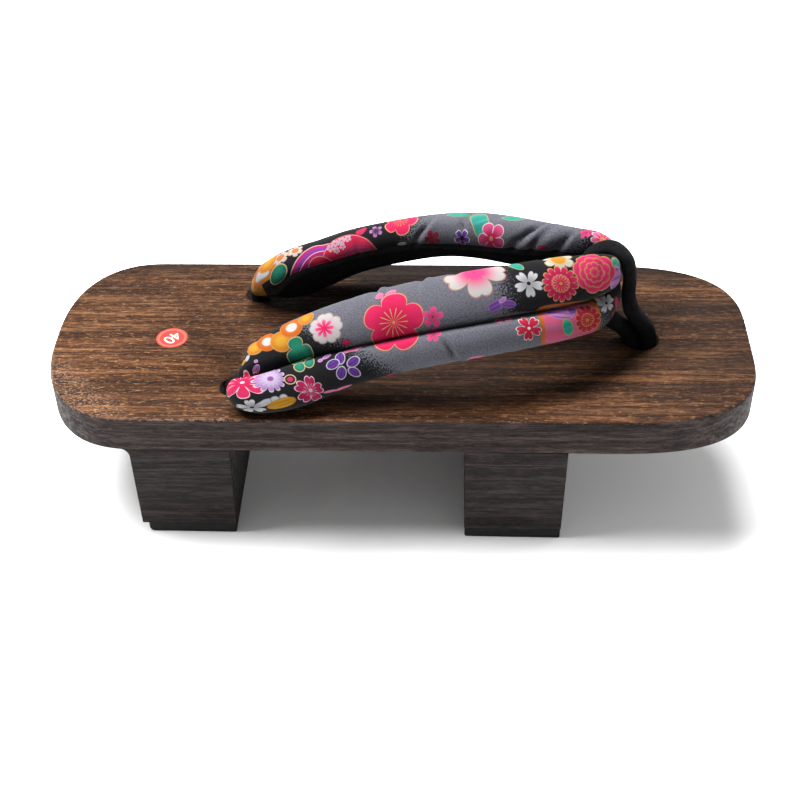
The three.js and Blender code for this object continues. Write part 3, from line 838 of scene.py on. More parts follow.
# A plain round spot, without petals.
DISC = (1, 1, 0.0, 0.0, 0.0, 0.0, 0.0)
FLOWERS = {
    "plum_hot": (5, 1, 0.30, 0.0, 0.05, 1.0, 0.0,
        (232, 38, 98), (214, 20, 78), (236, 160, 60), (214, 176, 120)),
    "disc_orange": (1, 1, 0.0, 0.0, 0.52, 0.0, 0.0,
        (200, 98, 20), (208, 128, 48), (216, 210, 208), (206, 120, 44)),
    "disc_yellow": (*DISC, (206, 126, 24), (216, 158, 44), GOLD, (196, 150, 90)),
    "cloud": (3, 1, 0.50, 0.0, 0.0, 0.0, 0.0,
        (22, 118, 96), (36, 140, 112), GOLD, (205, 180, 130)),
    "leaf_disc": (*DISC, (22, 118, 96), (36, 140, 112), GOLD, (205, 180, 130)),
    "disc_red": (*DISC, (206, 32, 74), (222, 52, 92), GOLD, (214, 150, 140)),
    "disc_pink": (*DISC, (206, 66, 116), (226, 92, 140), GOLD, (150, 50, 80)),
    "bands": (1, 5, 0.0, 0.0, 0.0, 0.0, 0.0,
        (206, 36, 84), (150, 60, 170), WHITE, (232, 190, 214)),
    "pale": (5, 1, 0.20, 0.10, 0.0, 0.0, 0.3,
        (212, 204, 204), (214, 190, 198), WHITE, (190, 176, 160)),
    "star": (8, 1, 0.80, 0.0, 0.28, 0.0, 0.0,
        (236, 90, 140), (226, 30, 96), (228, 30, 96), (240, 150, 180)),
    "daisy": (10, 1, 0.42, 0.0, 0.10, 0.0, 1.0,
        (224, 44, 100), (206, 26, 84), (244, 214, 226), (240, 214, 224)),
    "lilac": (13, 1, 0.40, 0.0, 0.22, 0.5, 1.0,
        (176, 134, 196), (200, 182, 212), (150, 80, 160), (214, 206, 220)),
    "dot_ring": (1, 1, 0.0, 0.0, 0.55, 0.0, 0.0,
        (40, 30, 36), (40, 30, 36), (206, 50, 100), (222, 190, 150)),
    "cherry_wine": (5, 1, 0.46, 0.20, 0.14, 0.8, 1.0,
        (178, 26, 84), (196, 40, 98), (240, 200, 214), (238, 206, 220)),
    "cherry_big": (5, 1, 0.50, 0.12, 0.05, 0.0, 0.6,
        (204, 200, 196), (224, 70, 132), (214, 30, 92), (180, 156, 120)),
    "sakura": (5, 1, 0.90, 0.24, 0.15, 0.0, 0.0,
        (214, 214, 216), (170, 170, 176), BLACK, (206, 206, 210)),
    "cherry_red": (5, 1, 0.66, 0.22, 0.12, 0.0, 1.0,
        (206, 36, 72), (196, 24, 60), WHITE, (238, 232, 232)),
    "dots_pink": (5, 1, 0.70, 0.0, 0.12, 0.0, 0.0,
        (236, 80, 140), (206, 60, 110), (70, 60, 70), (226, 90, 146)),
    "dots_red": (5, 1, 0.70, 0.0, 0.10, 0.0, 0.0,
        (150, 36, 60), (176, 40, 70), (70, 60, 70), (130, 50, 70)),
    "dots_purple": (5, 1, 0.84, 0.0, 0.0, 0.0, 0.0,
        (196, 130, 190), (60, 40, 70), BLACK, (170, 120, 170)),
    "violet": (5, 1, 0.80, 0.08, 0.26, 0.0, 0.0,
        (120, 70, 166), (96, 48, 140), BLACK, (236, 230, 242)),
    "yellow": (6, 1, 0.36, 0.0, 0.52, 0.0, 0.5,
        (206, 204, 198), (214, 168, 60), (212, 148, 36), (200, 184, 140)),
    "white_orange": (6, 1, 0.36, 0.0, 0.50, 0.0, 0.5,
        (206, 196, 190), (206, 190, 180), (206, 120, 60), (190, 160, 130)),
    "mum": (14, 2, 0.55, 0.0, 0.10, 0.0, 1.0,
        (226, 40, 100), (196, 24, 80), (224, 140, 60), (222, 170, 110)),
    "mum_red": (12, 2, 0.5, 0.0, 0.14, 0.0, 1.0,
        (198, 36, 62), (190, 30, 60), (226, 150, 60), (222, 150, 90)),
    "mum_pink": (11, 1, 0.34, 0.0, 0.30, 0.0, 1.0,
        (240, 120, 160), (226, 50, 110), (226, 150, 90), (246, 226, 230)),
    "pink_white": (5, 1, 0.34, 0.0, 0.16, 0.0, 0.8,
        (226, 90, 140), (206, 40, 100), (224, 150, 110), (240, 220, 228)),
    "peony": (8, 4, 0.44, 0.0, 0.0, 0.0, 0.3,
        (232, 70, 124), (226, 44, 104), GOLD, (214, 150, 90)),
    "blossom_white": (5, 1, 0.50, 0.0, 0.20, 0.0, 0.5,
        (212, 170, 188), (206, 150, 176), (204, 60, 104), (212, 176, 190)),
}

# Plain printed shapes: how square the shape is, the outline's width in mm, then the fill,
# stripe and outline colours.
PATCH_VALUES = ("Square", "Rim")
PATCH_COLOURS = ("Fill", "Stripe", "Outline")
PATCHES = {
    "white": (2.0, 0.3, (206, 204, 206), (198, 196, 200), (160, 158, 166)),
    "violet_petal": (2.0, 0.4, (104, 56, 150), (84, 42, 128), (196, 188, 208)),
    "orange": (2.2, 0.4, (200, 104, 22), (206, 124, 38), (200, 146, 76)),
    "gold": (2.2, 0.3, (208, 146, 32), (214, 164, 48), (200, 124, 40)),
    "pink": (2.0, 0.3, (236, 110, 158), (240, 150, 186), (226, 130, 166)),
    "teal": (1.8, 0.3, (40, 160, 140), (56, 176, 156), (190, 160, 100)),
    "teal_wide": (4.0, 0.3, (52, 156, 142), (60, 172, 158), (190, 170, 110)),
    "purple": (2.0, 0.3, (112, 66, 150), (140, 90, 176), (150, 110, 180)),
    "lilac_patch": (2.0, 0.3, (196, 130, 190), (150, 90, 180), (206, 160, 210)),
    "panel": (7.0, 1.3, (224, 96, 136), (214, 112, 150), (206, 108, 30)),
    "wine": (2.0, 0.3, (196, 30, 84), (206, 50, 100), (150, 30, 60)),
}

# The cloth under the print is black at both ends of an arm and grey between. Rear edge of
# the grey at the middle of the face, its shift for each mm round, then its front edge on
# the upper and the lower roll, all in mm from the bend.
GROUND = {
    "right": {"rear": 104.0, "rear_slope": 1.0, "front": 48.0, "front_low": 14.0},
    "left": {"rear": 70.0, "rear_slope": 0.4, "front": 15.0, "front_low": 15.0},
}
# The front edge steps from the lower roll to the upper one between these, in mm round.
GROUND_FRONT = (-3.2, -2.2)
GROUND_GREYS = ((80, 80, 88), (117, 117, 128))
# How far the print's grey and black mix in fine dots, and how sharply each dot ends.
STIPPLE = {"reach": 34.0, "sharp": (-2.0, 2.0)}
# The weave's thread in mm, and how the shade between threads and in the crease is laid on.
THREAD = 0.42
THREAD_SHADE = (0.28, SHADE)
CREASE_SHADE = {"limits": (0.8, 0.3), "strength": 0.85}
LINING_LIMITS = (0.15, -0.15)
NAP_COLOURS = ((17, 17, 19), (34, 33, 37))
NAP_SHEEN = (0.35, (42, 41, 46))
# The cloth's noises: scale, detail and roughness.
CLOTH_NOISE = {"sway": (0.35, 2.0), "slub": (1.0, 2.0), "stipple": (1.5, 2.0, 0.8),
               "speckle": (1.9, 3.0, 0.7), "nap": (1.9, 5.0, 0.7), "soft": (0.22, 3.0, 0.5)}
SLUB_STRETCH = (0.4, 3.2, 1.0)
# Slubs bring the shade between threads down to this share of its strength.
SLUB_SHARE = 0.5

# Where each shape is printed, in mm along the strap from its front bend (the right arm is
# below zero) and round it from the middle of its face. Flowers: radius, and which way one
# petal points in degrees. Patches: half length, half width and turn. Later ones lie over
# earlier ones.
PATCH_PLACES = [
    # right arm, from the rear
    ("white", -134.6, -13.4, 1.8, 1.2, 0), ("white", -132.6, -13.0, 1.4, 1.2, 0),
    ("white", -129.8, -12.8, 1.4, 1.2, 0), ("gold", -130.8, -14.9, 4.6, 1.9, 8),
    ("white", -137.4, 5.6, 1.6, 0.9, 50), ("gold", -139.8, 4.4, 1.6, 0.8, 30),
    ("lilac_patch", -134.6, 3.4, 0.7, 0.6, 0), ("lilac_patch", -135.4, 1.2, 1.6, 0.8, 30),
    ("pink", -87.2, 12.2, 1.5, 1.1, 20), ("pink", -83.4, 12.4, 2.0, 1.1, 15),
    ("pink", -85.9, 10.2, 1.5, 1.1, 70),
    ("wine", -101.8, -0.3, 1.6, 0.9, 0), ("pink", -99.6, -3.0, 2.2, 1.0, 0),
    ("pink", -102.6, -3.0, 1.4, 0.8, 0), ("lilac_patch", -109.8, -2.8, 1.6, 0.9, 10),
    ("lilac_patch", -112.2, -3.6, 1.0, 0.7, 0),
    ("violet_petal", -105.2, -5.0, 2.4, 1.8, 80), ("violet_petal", -108.2, -6.4, 2.6, 1.8, 10),
    ("violet_petal", -101.2, -7.6, 2.6, 1.8, 20), ("violet_petal", -106.4, -10.2, 2.6, 1.8, 60),
    ("violet_petal", -102.0, -11.2, 2.5, 1.7, -50),
    ("purple", -50.9, 0.8, 3.0, 1.7, 20), ("purple", -47.2, 0.6, 2.6, 1.4, -10),
    ("lilac_patch", -48.8, 2.2, 1.4, 0.8, 30),
    ("pink", -50.6, -4.1, 1.5, 0.9, 0), ("pink", -47.4, -4.0, 1.6, 0.9, 0),
    ("pink", -59.8, -17.3, 2.9, 0.9, 0), ("pink", -108.5, -16.4, 3.6, 0.8, 0),
    ("pink", -113.5, -15.6, 2.6, 0.6, -10), ("wine", -89.8, -17.6, 2.0, 1.0, 0),
    ("teal", -41.2, 14.4, 3.0, 1.7, -50), ("teal", -7.8, 9.8, 1.7, 2.8, 0),
    ("lilac_patch", -8.4, 5.0, 2.3, 4.6, 0), ("wine", -6.4, -5.2, 1.5, 2.8, 20),
    ("wine", -8.0, -9.0, 1.2, 1.8, 0), ("gold", -13.8, -1.4, 1.4, 0.8, 0),
    ("panel", -26.2, -9.4, 11.6, 8.0, 0), ("lilac_patch", -29.4, -4.6, 5.0, 2.2, -10),
    ("teal", -27.6, -10.0, 2.2, 3.6, 15), ("purple", -24.8, -4.4, 1.6, 1.0, 0),
    # left arm, from the bend
    ("teal", 61.0, 12.2, 4.4, 1.6, 0), ("teal_wide", 52.8, 16.4, 3.1, 4.9, 25),
    ("teal", 41.9, 12.6, 4.0, 2.0, 8), ("wine", 28.6, 22.6, 1.7, 0.9, 0),
    ("purple", 5.6, 13.0, 2.2, 2.6, 0), ("wine", 96.9, 14.2, 2.4, 1.6, 30),
    ("white", 81.9, 22.6, 1.9, 0.9, 0),
    ("gold", 140.6, 13.4, 7.0, 3.6, -62), ("orange", 134.6, 13.4, 7.2, 3.8, -30),
    ("white", 135.2, 14.0, 4.0, 1.5, -38),
]
FLOWER_PLACES = [
    # right arm, from the rear
    ("disc_yellow", -133.8, 9.3, 3.4, 0), ("disc_orange", -128.6, 9.8, 4.2, 0),
    ("disc_yellow", -123.4, 7.8, 4.2, 0), ("disc_orange", -118.2, 11.6, 4.2, 0),
    ("disc_yellow", -112.4, 13.2, 3.0, 0),
    ("daisy", -139.0, -4.7, 6.4, 20), ("lilac", -131.9, -5.2, 5.2, 10),
    ("dot_ring", -125.6, -7.1, 1.9, 0), ("cherry_wine", -120.6, -12.7, 5.6, 70),
    ("sakura", -138.0, -14.6, 3.1, 20),
    ("cloud", -118.8, 2.2, 5.2, 92), ("leaf_disc", -120.9, -3.3, 2.2, 0),
    ("leaf_disc", -116.8, -2.8, 2.3, 0),
    ("pale", -106.6, 6.4, 5.7, 80), ("star", -107.0, 6.4, 3.3, 80),
    ("plum_hot", -84.2, 1.6, 10.4, 78), ("dots_pink", -71.3, 0.4, 3.4, 75),
    ("dots_pink", -72.2, -5.4, 2.6, 75),
    ("cherry_big", -55.6, 14.6, 10.8, -14), ("sakura", -39.2, 6.6, 5.0, 52),
    ("cherry_red", -41.8, -8.5, 4.7, 44),
    ("yellow", -26.6, 14.8, 4.9, 20), ("peony", -15.8, 8.8, 7.6, 10),
    ("mum", -28.4, 5.4, 6.4, 0), ("mum_red", -19.4, -7.9, 5.2, 0),
    ("sakura", -11.6, -3.4, 3.4, 20),
    # left arm, from the bend
    ("mum_pink", 8.2, 15.8, 4.9, 0), ("dots_pink", 15.2, 16.0, 2.4, 0),
    ("pink_white", 47.8, 21.4, 5.2, -60), ("violet", 59.2, 22.0, 3.2, 20),
    ("dots_red", 70.1, 21.6, 2.8, 0),
    ("plum_hot", 81.5, 12.9, 6.6, 30), ("dots_purple", 91.2, 15.9, 2.6, 0),
    ("bands", 114.0, 29.4, 14.0, 0), ("disc_red", 103.4, 26.4, 11.5, 0),
    ("disc_pink", 99.6, 28.2, 8.4, 0), ("disc_red", 115.4, 24.6, 4.8, 0),
    ("blossom_white", 109.6, 18.2, 1.5, 0), ("blossom_white", 107.2, 17.0, 1.5, 0),
    ("blossom_white", 104.6, 16.7, 1.5, 20), ("blossom_white", 102.2, 16.5, 1.4, 0),
    ("blossom_white", 107.6, 19.7, 1.3, 10), ("blossom_white", 104.9, 18.9, 1.3, 10),
    ("white_orange", 127.6, 14.4, 3.0, 0), ("white_orange", 122.4, 14.4, 2.9, 20),
    ("leaf_disc", 129.6, 19.6, 3.2, 0), ("disc_yellow", 131.8, 12.2, 3.2, 0),
    # left arm, down its outer side
    ("peony", 16.4, -7.6, 6.4, 10), ("sakura", 28.6, -11.0, 4.6, 40),
    ("dots_pink", 27.6, 6.4, 3.0, 0),
    ("plum_hot", 45.4, -6.6, 8.6, 60), ("cherry_wine", 61.8, -11.4, 5.2, 10),
    ("violet", 69.2, 3.4, 4.6, 30), ("dots_red", 79.0, -4.4, 3.2, 0), ("mum", 91.4, -8.2, 6.2, 0),
    ("pale", 105.6, 3.6, 5.0, 20), ("star", 105.6, 3.6, 3.0, 20), ("yellow", 106.8, -12.6, 4.4, 0),
    ("disc_orange", 119.6, -3.0, 3.8, 0), ("disc_yellow", 115.0, -5.2, 3.6, 0),
    ("lilac", 129.0, -8.0, 5.0, 0), ("cherry_red", 122.2, 6.6, 4.2, 0),
]


def ink(colour):
    """A print colour, which looks a little duller than the cloth it is printed on."""
    return tuple(channel * INK_LEVEL for channel in linear(*colour)[:3]) + (1.0,)


# A flower's outline: its width in mm, then, in outline widths, how far in from the petals'
# edge it lies and where its sides start and end to show.
FLOWER_LINE = {"width": 0.26, "in": 0.6, "limits": (0.9, 0.5)}
STAMENS = 14
# How sharply petals draw in at the gaps between them and at the notches in their tips.
PETAL_TIP = {"gap": 3.0, "notch": 6.0}
# Where a flower's parts start and end to show: its petals at their edge, the lines between
# them (off a petal's middle, and out in its row), the tip's colour, the foot's colour on the
# very edge, and the stamens (each one's sides, and their reach).
FLOWER_LIMITS = {
    "petals": (0.05, -0.03), "seams": (0.82, 0.95), "seams_out": (0.25, 0.4),
    "tip": (0.25, 0.85), "edge": (0.03, -0.03), "stamens": (0.80, 0.95),
    "stamens_out": (0.5, 0.42),
}


def make_flower_group():
    """One printed flower over the colour under it."""
    tree, n, source, sink = new_group(
        "printed flower",
        named("vector", "Place") + named("colour", "Under")
        + named("value", "U", "V", "Radius", "Turn", *FLOWER_VALUES)
        + named("colour", *FLOWER_COLOURS),
        named("colour", "Colour"))
    u, v, _ = n.split(source["Place"])
    du = n.over(n.minus(u, source["U"]), source["Radius"])
    dv = n.over(n.minus(v, source["V"]), source["Radius"])
    far = n.math("SQRT", n.plus(n.times(du, du), n.times(dv, dv)))
    angle = n.plus(n.over(n.math("ARCTAN2", dv, du), 2 * math.pi), source["Turn"])
    # Which row of petals a place is in, how far out in it, and how far off a petal's middle.
    scaled = n.times(far, source["Rows"])
    last = n.minus(source["Rows"], 1.0)
    row = n.math("MINIMUM", n.math("FLOOR", scaled), last)
    within = n.minus(scaled, row)
    petal = n.math("FRACT", n.times_plus(angle, source["Petals"], n.times(row, 0.5)))
    off = n.absolute(n.times_plus(petal, 2.0, -1.0))
    # Where the petals end.
    limits = FLOWER_LIMITS
    edge = n.minus(1.0, n.times(source["Gap"], n.power(off, PETAL_TIP["gap"])))
    notch = n.power(n.minus(1.0, off), PETAL_TIP["notch"])
    edge = n.minus(edge, n.times(source["Notch"], notch))
    mask = n.step(n.minus(n.minus(scaled, last), edge), *limits["petals"])
    # The lines round and between them.
    line = n.over(n.times(source["Rows"], FLOWER_LINE["width"]), source["Radius"])
    rim = n.minus(edge, within)
    rim_off = n.absolute(n.times_plus(line, -FLOWER_LINE["in"], rim))
    near_edge = n.step(rim_off, *(n.times(line, share) for share in FLOWER_LINE["limits"]))
    near_gap = n.times(n.step(off, *limits["seams"]), n.step(within, *limits["seams_out"]),
                       source["Seams"])
    tint = n.mix(n.step(within, *limits["tip"]), source["Foot"], source["Tip"])
    tint = n.mix(n.step(rim, *limits["edge"]), tint, source["Foot"])
    tint = n.mix(n.math("MAXIMUM", near_edge, near_gap), tint, source["Outline"])
    rays = n.math("COSINE", n.times(angle, 2 * STAMENS * math.pi))
    stamens = n.times(n.step(rays, *limits["stamens"]), n.step(far, *limits["stamens_out"]),
                      source["Stamens"])
    tint = n.mix(stamens, tint, source["Outline"])
    heart = n.step(far, source["Heart"], n.times(source["Heart"], 0.8))
    tint = n.mix(heart, tint, source["Core"])
    n.feed(sink["Colour"], n.mix(mask, source["Under"], tint))
    return tree


# Where a patch's edge, its stripes and its outline (in outline widths) start and end to show.
PATCH_LIMITS = {"shape": (1.03, 0.97), "stripes": (0.2, 0.6), "rim": (1.3, 0.9)}
PATCH_STRIPES = 9.0


def make_patch_group():
    """One printed petal, leaf or panel over the colour under it."""
    tree, n, source, sink = new_group(
        "printed patch",
        named("vector", "Place") + named("colour", "Under")
        + named("value", "U", "V", "Long", "Wide", "Turn", *PATCH_VALUES)
        + named("colour", *PATCH_COLOURS),
        named("colour", "Colour"))
    u, v, _ = n.split(source["Place"])
    du = n.minus(u, source["U"])
    dv = n.minus(v, source["V"])
    cosine, sine = n.math("COSINE", source["Turn"]), n.math("SINE", source["Turn"])
    along = n.plus(n.times(du, cosine), n.times(dv, sine))
    across = n.minus(n.times(dv, cosine), n.times(du, sine))
    along = n.absolute(n.over(along, source["Long"]))
    across = n.absolute(n.over(across, source["Wide"]))
    size = n.plus(n.power(along, source["Square"]), n.power(across, source["Square"]))
    size = n.power(size, n.over(1.0, source["Square"]))
    line = n.over(source["Rim"], source["Long"])
    rim = n.step(size, *(n.minus(1.0, n.times(line, share)) for share in PATCH_LIMITS["rim"]))
    waves = n.math("COSINE", n.times(across, PATCH_STRIPES))
    striped = n.step(waves, *PATCH_LIMITS["stripes"])
    tint = n.mix(striped, source["Fill"], source["Stripe"])
    tint = n.mix(rim, tint, source["Outline"])
    shape = n.step(size, *PATCH_LIMITS["shape"])
    n.feed(sink["Colour"], n.mix(shape, source["Under"], tint))
    return tree


def make_weave_group():
    """A plain weave, over and under, for a place in millimetres."""
    tree, n, source, sink = new_group(
        "weave", named("vector", "Place"), named("value", "Height", "Gap"))
    sway = n.noise(source["Place"], *CLOTH_NOISE["sway"])
    u, v, _ = n.split(source["Place"])
    over, under = (n.math("SINE", n.times(n.times_plus(sway, 0.5, way), math.pi / THREAD))
                   for way in (u, v))
    height = n.times_plus(n.times(over, under), 0.5, 0.5)
    n.feed(sink["Height"], height)
    slub = n.noise(n.stretch(source["Place"], SLUB_STRETCH), *CLOTH_NOISE["slub"])
    n.feed(sink["Gap"], n.times(n.step(height, 0.35, 0.0),
                                n.step(slub, 0.3, 0.7, SLUB_SHARE, 1.0)))
    return tree


def make_nap_group():
    """The colour and height of soft napped black cloth, for a place in millimetres."""
    tree, n, source, sink = new_group(
        "black nap", named("vector", "Place"), named("colour", "Colour") + named("value", "Height"))
    nap = n.noise(source["Place"], *CLOTH_NOISE["nap"])
    soft = n.noise(source["Place"], *CLOTH_NOISE["soft"])
    dark, light = (linear(*colour) for colour in NAP_COLOURS)
    colour = n.mix(n.step(nap, 0.35, 0.7), dark, light)
    n.feed(sink["Colour"], n.lay(n.step(soft, 0.4, 0.7), NAP_SHEEN, colour))
    n.feed(sink["Height"], nap)
    return tree


def add_ground(n, place, side):
    """The print's ground: black at both ends of an arm, grey between, stippled where they meet."""
    u, v, _ = n.split(place)
    ground = GROUND[side]
    stipple = n.minus(n.noise(place, *CLOTH_NOISE["stipple"]), 0.5)
    spread = n.absolute(u)
    rear = n.times_plus(v, ground["rear_slope"], ground["rear"])
    front = n.step(v, *GROUND_FRONT, ground["front_low"], ground["front"])
    inside = [n.step(n.times_plus(stipple, STIPPLE["reach"], gap), *STIPPLE["sharp"])
              for gap in (n.minus(rear, spread), n.minus(spread, front))]
    speckle = n.noise(place, *CLOTH_NOISE["speckle"])
    dark, light = (linear(*colour) for colour in GROUND_GREYS)
    grey = n.mix(n.step(speckle, 0.3, 0.7), dark, light)
    return n.mix(n.times(*inside), linear(*BLACK), grey)


def add_printed(n, group, place, under, values, inks, **where):
    """A printed shape laid over the colour under it."""
    return n.group(group, Place=place, Under=under, **where,
                   **{title: float(value) for title, value in values},
                   **{title: ink(colour) for title, colour in inks})["Colour"]


def make_print(zone, low, high, groups):
    """The printed cloth between two places along the strap, and the lining's edge by it."""
    material, n, shader = new_material(f"printed cloth {zone}", Roughness=0.88,
                                       Specular_IOR_Level=0.1, Sheen_Weight=0.05,
                                       Sheen_Roughness=0.5)
    place = n.add("ShaderNodeUVMap", {"uv_map": "mm"}).outputs["UV"]
    colour = add_ground(n, place, "right" if low < 0 else "left")
    for kind, at, across, long, wide, turn in PATCH_PLACES:
        if at + long < low or at - long > high:
            continue
        split = len(PATCH_VALUES)
        colour = add_printed(
            n, groups["patch"], place, colour, zip(PATCH_VALUES, PATCHES[kind][:split]),
            zip(PATCH_COLOURS, PATCHES[kind][split:]), U=at, V=across, Long=long, Wide=wide,
            Turn=math.radians(turn))
    for kind, at, across, radius, turn in FLOWER_PLACES:
        if at + radius < low or at - radius > high:
            continue
        split = len(FLOWER_VALUES)
        colour = add_printed(
            n, groups["flower"], place, colour, zip(FLOWER_VALUES, FLOWERS[kind][:split]),
            zip(FLOWER_COLOURS, FLOWERS[kind][split:]), U=at, V=across, Radius=radius,
            Turn=0.5 / FLOWERS[kind][0] - turn / 360.0)
    weave = n.group(groups["weave"], Place=place)
    colour = n.lay(weave["Gap"], THREAD_SHADE, colour)
    from_crease = n.add("ShaderNodeAttribute", {"attribute_name": "from_crease"}).outputs["Fac"]
    crease = n.step(from_crease, *CREASE_SHADE["limits"], 0.0, CREASE_SHADE["strength"])
    colour = n.mix(crease, colour, linear(*SHADE))
    inside = n.add("ShaderNodeAttribute", {"attribute_name": "inside_print"}).outputs["Fac"]
    lining = n.step(inside, *LINING_LIMITS)
    nap = n.group(groups["nap"], Place=add_place(n))
    n.feed(shader["Base Color"], n.mix(lining, colour, nap["Colour"]))
    height = n.times_plus(lining, n.minus(nap["Height"], weave["Height"]), weave["Height"])
    n.feed(shader["Normal"], n.bump(height, 0.35, 0.00015))
    return material


def make_black_cloth(nap_group):
    material, n, shader = new_material("napped black cloth", Roughness=0.95,
                                       Specular_IOR_Level=0.06, Sheen_Weight=0.0)
    nap = n.group(nap_group, Place=add_place(n))
    n.feed(shader["Base Color"], nap["Colour"])
    n.feed(shader["Normal"], n.bump(nap["Height"], 0.5, 0.0004))
    return material


# ------------------------------------------------------------------ strap

# Soft folds in the strap's skin: mm along from the bend, mm round from the middle of the
# face, half length, half width, depth (below zero is a ridge), and turn in degrees of the
# fold from straight across the strap.
STRAP_FOLDS = [
    # left arm: soft diagonal folds across the top
    (73.7, 19.1, 5.6, 0.9, 2.0, 39), (70.9, 18.6, 5.5, 1.4, -0.7, 36),
    (57.9, 14.8, 5.8, 0.7, 1.7, 14), (39.2, 21.7, 2.4, 1.0, 0.9, 32),
    (34.6, 18.6, 7.0, 1.0, 2.2, 40), (31.2, 17.6, 6.0, 1.4, -0.9, 38),
    (32.0, 22.4, 2.8, 0.9, 1.2, 23), (22.2, 20.6, 5.0, 1.1, 1.7, 28),
    (26.6, 19.4, 5.0, 1.7, -0.7, 30), (19.2, 17.0, 4.0, 1.6, -0.4, 28),
    (96.5, 17.0, 4.5, 1.2, 0.6, -14), (99.6, 21.0, 4.0, 0.8, 0.7, 4),
    (112.0, 15.0, 4.0, 1.5, 0.5, -20), (47.0, 13.0, 3.0, 1.2, 0.5, 20),
    (64.5, 21.0, 3.0, 1.2, 0.4, -10),
    # right arm: puckers at the upper edge, along the crease and at the lower edge
    (-89.0, 15.2, 4.0, 1.0, 1.1, 18), (-86.4, 15.4, 3.6, 1.1, -0.8, 18),
    (-73.5, 15.4, 4.0, 1.1, 0.9, 12), (-71.0, 15.6, 3.6, 1.2, -0.4, 12),
    (-62.0, 15.8, 3.8, 1.2, 0.8, 20), (-44.5, 15.2, 3.6, 1.2, 0.9, 10),
    (-12.4, 10.8, 5.0, 0.9, 0.9, 12), (-19.6, 13.4, 4.0, 1.0, 0.8, -8),
    (-98.0, 13.0, 3.2, 1.2, 0.7, 14), (-31.0, 14.6, 3.6, 1.3, 0.7, 8),
    (-67.4, -13.4, 5.4, 0.8, 2.0, -24), (-64.8, -15.6, 4.6, 1.4, -1.0, -20),
    (-81.0, -13.8, 4.0, 1.4, 0.45, -18), (-95.0, -14.6, 4.0, 1.5, 0.5, -16),
    (-50.5, -14.0, 4.0, 1.4, 0.45, -12), (-37.0, -13.6, 3.4, 1.3, 0.5, -8),
    (-107.0, -4.6, 2.2, 1.0, 0.35, 10), (-93.5, -4.2, 2.2, 1.0, 0.35, -8),
    (-77.0, -6.2, 2.4, 1.0, 0.35, 8), (-62.0, -6.4, 2.4, 1.0, 0.3, -8),
    (-46.0, -5.6, 2.2, 1.0, 0.3, 6), (-33.0, -5.4, 2.2, 1.0, 0.3, -6),
    (-58.0, 0.8, 2.4, 1.0, 0.3, 8), (-76.0, 0.4, 2.4, 1.0, 0.3, -10),
    (-98.5, 2.2, 2.4, 1.0, 0.3, 8), (-123.0, 3.0, 2.4, 1.2, 0.35, -8),
]
# A fold is left out past this many of its half lengths.
FOLD_REACH = 2.2


def strap_section(width, thick, crease):
    """One section, point by point: where it is, how far round and how far off the crease."""
    spots = []
    for i in range(STRAP_SIDES):
        angle = math.radians(270) + 2 * math.pi * i / STRAP_SIDES
        across = (width / 2) * power(math.cos(angle), 2 / STRAP_SQUARE)
        out = (thick / 2) * power(math.sin(angle), 2 / STRAP_SQUARE)
        spots.append((across, out))
    full = min(1.0, thick / CREASE["full_at_thick"])
    distances = [0.0]
    for here, ahead in zip(spots, spots[1:] + spots[:1]):
        distances.append(distances[-1] + math.hypot(ahead[0] - here[0], ahead[1] - here[1]))
    middle = distances[STRAP_SIDES // 2]
    section = []
    for (across, out), distance in zip(spots, distances):
        skin = Vector((across / (width / 2) ** 2, out / (thick / 2) ** 2)).normalized()
        off = across - crease
        near = sum(share * bell(off, reach) for share, reach in CREASE_SHAPE.values())
        dip = -CREASE["depth"] if out > 0 else CREASE["lining_depth"]
        section.append({"across": across, "out": out + dip * near * full,
                        "round": middle - distance, "skin": skin,
                        "from_crease": abs(off) if out > 0 else OFF_CREASE})
    return section, 2 * middle


def print_edge(along, around):
    """How far a point of the skin is inside the print's edge, in mm."""
    along = abs(along)
    for (start, low), (end, high) in zip(LINING_EDGE, LINING_EDGE[1:]):
        if along <= end:
            break
    share = min(1.0, (along - start) / (end - start))
    return min(low + (high - low) * share - around, around - LINING_LOW_EDGE)


def fold_depth(along, around):
    depth = 0.0
    for at, spot, long, wide, deep, turn in STRAP_FOLDS:
        ahead, aside = along - at, around - spot
        if max(abs(ahead), abs(aside)) > FOLD_REACH * long + 2 * wide:
            continue
        tilt = math.radians(turn)
        lengthwise = aside * math.cos(tilt) + ahead * math.sin(tilt)
        sideways = ahead * math.cos(tilt) - aside * math.sin(tilt)
        depth += deep * bell(lengthwise, long) * bell(sideways, wide)
    return depth


def arm_rows(side):
    """One arm's rows from its rear end to the bend, evenly spaced."""
    rows = smooth_rows(STRAP_REAR[side] + STRAP_FRONT, STRAP_STEPS)
    kept = [rows[0]]
    for row in rows[1:-1]:
        if math.dist(row[:3], kept[-1][:3]) > RING_GAP:
            kept.append(row)
    return kept + [rows[-1]]


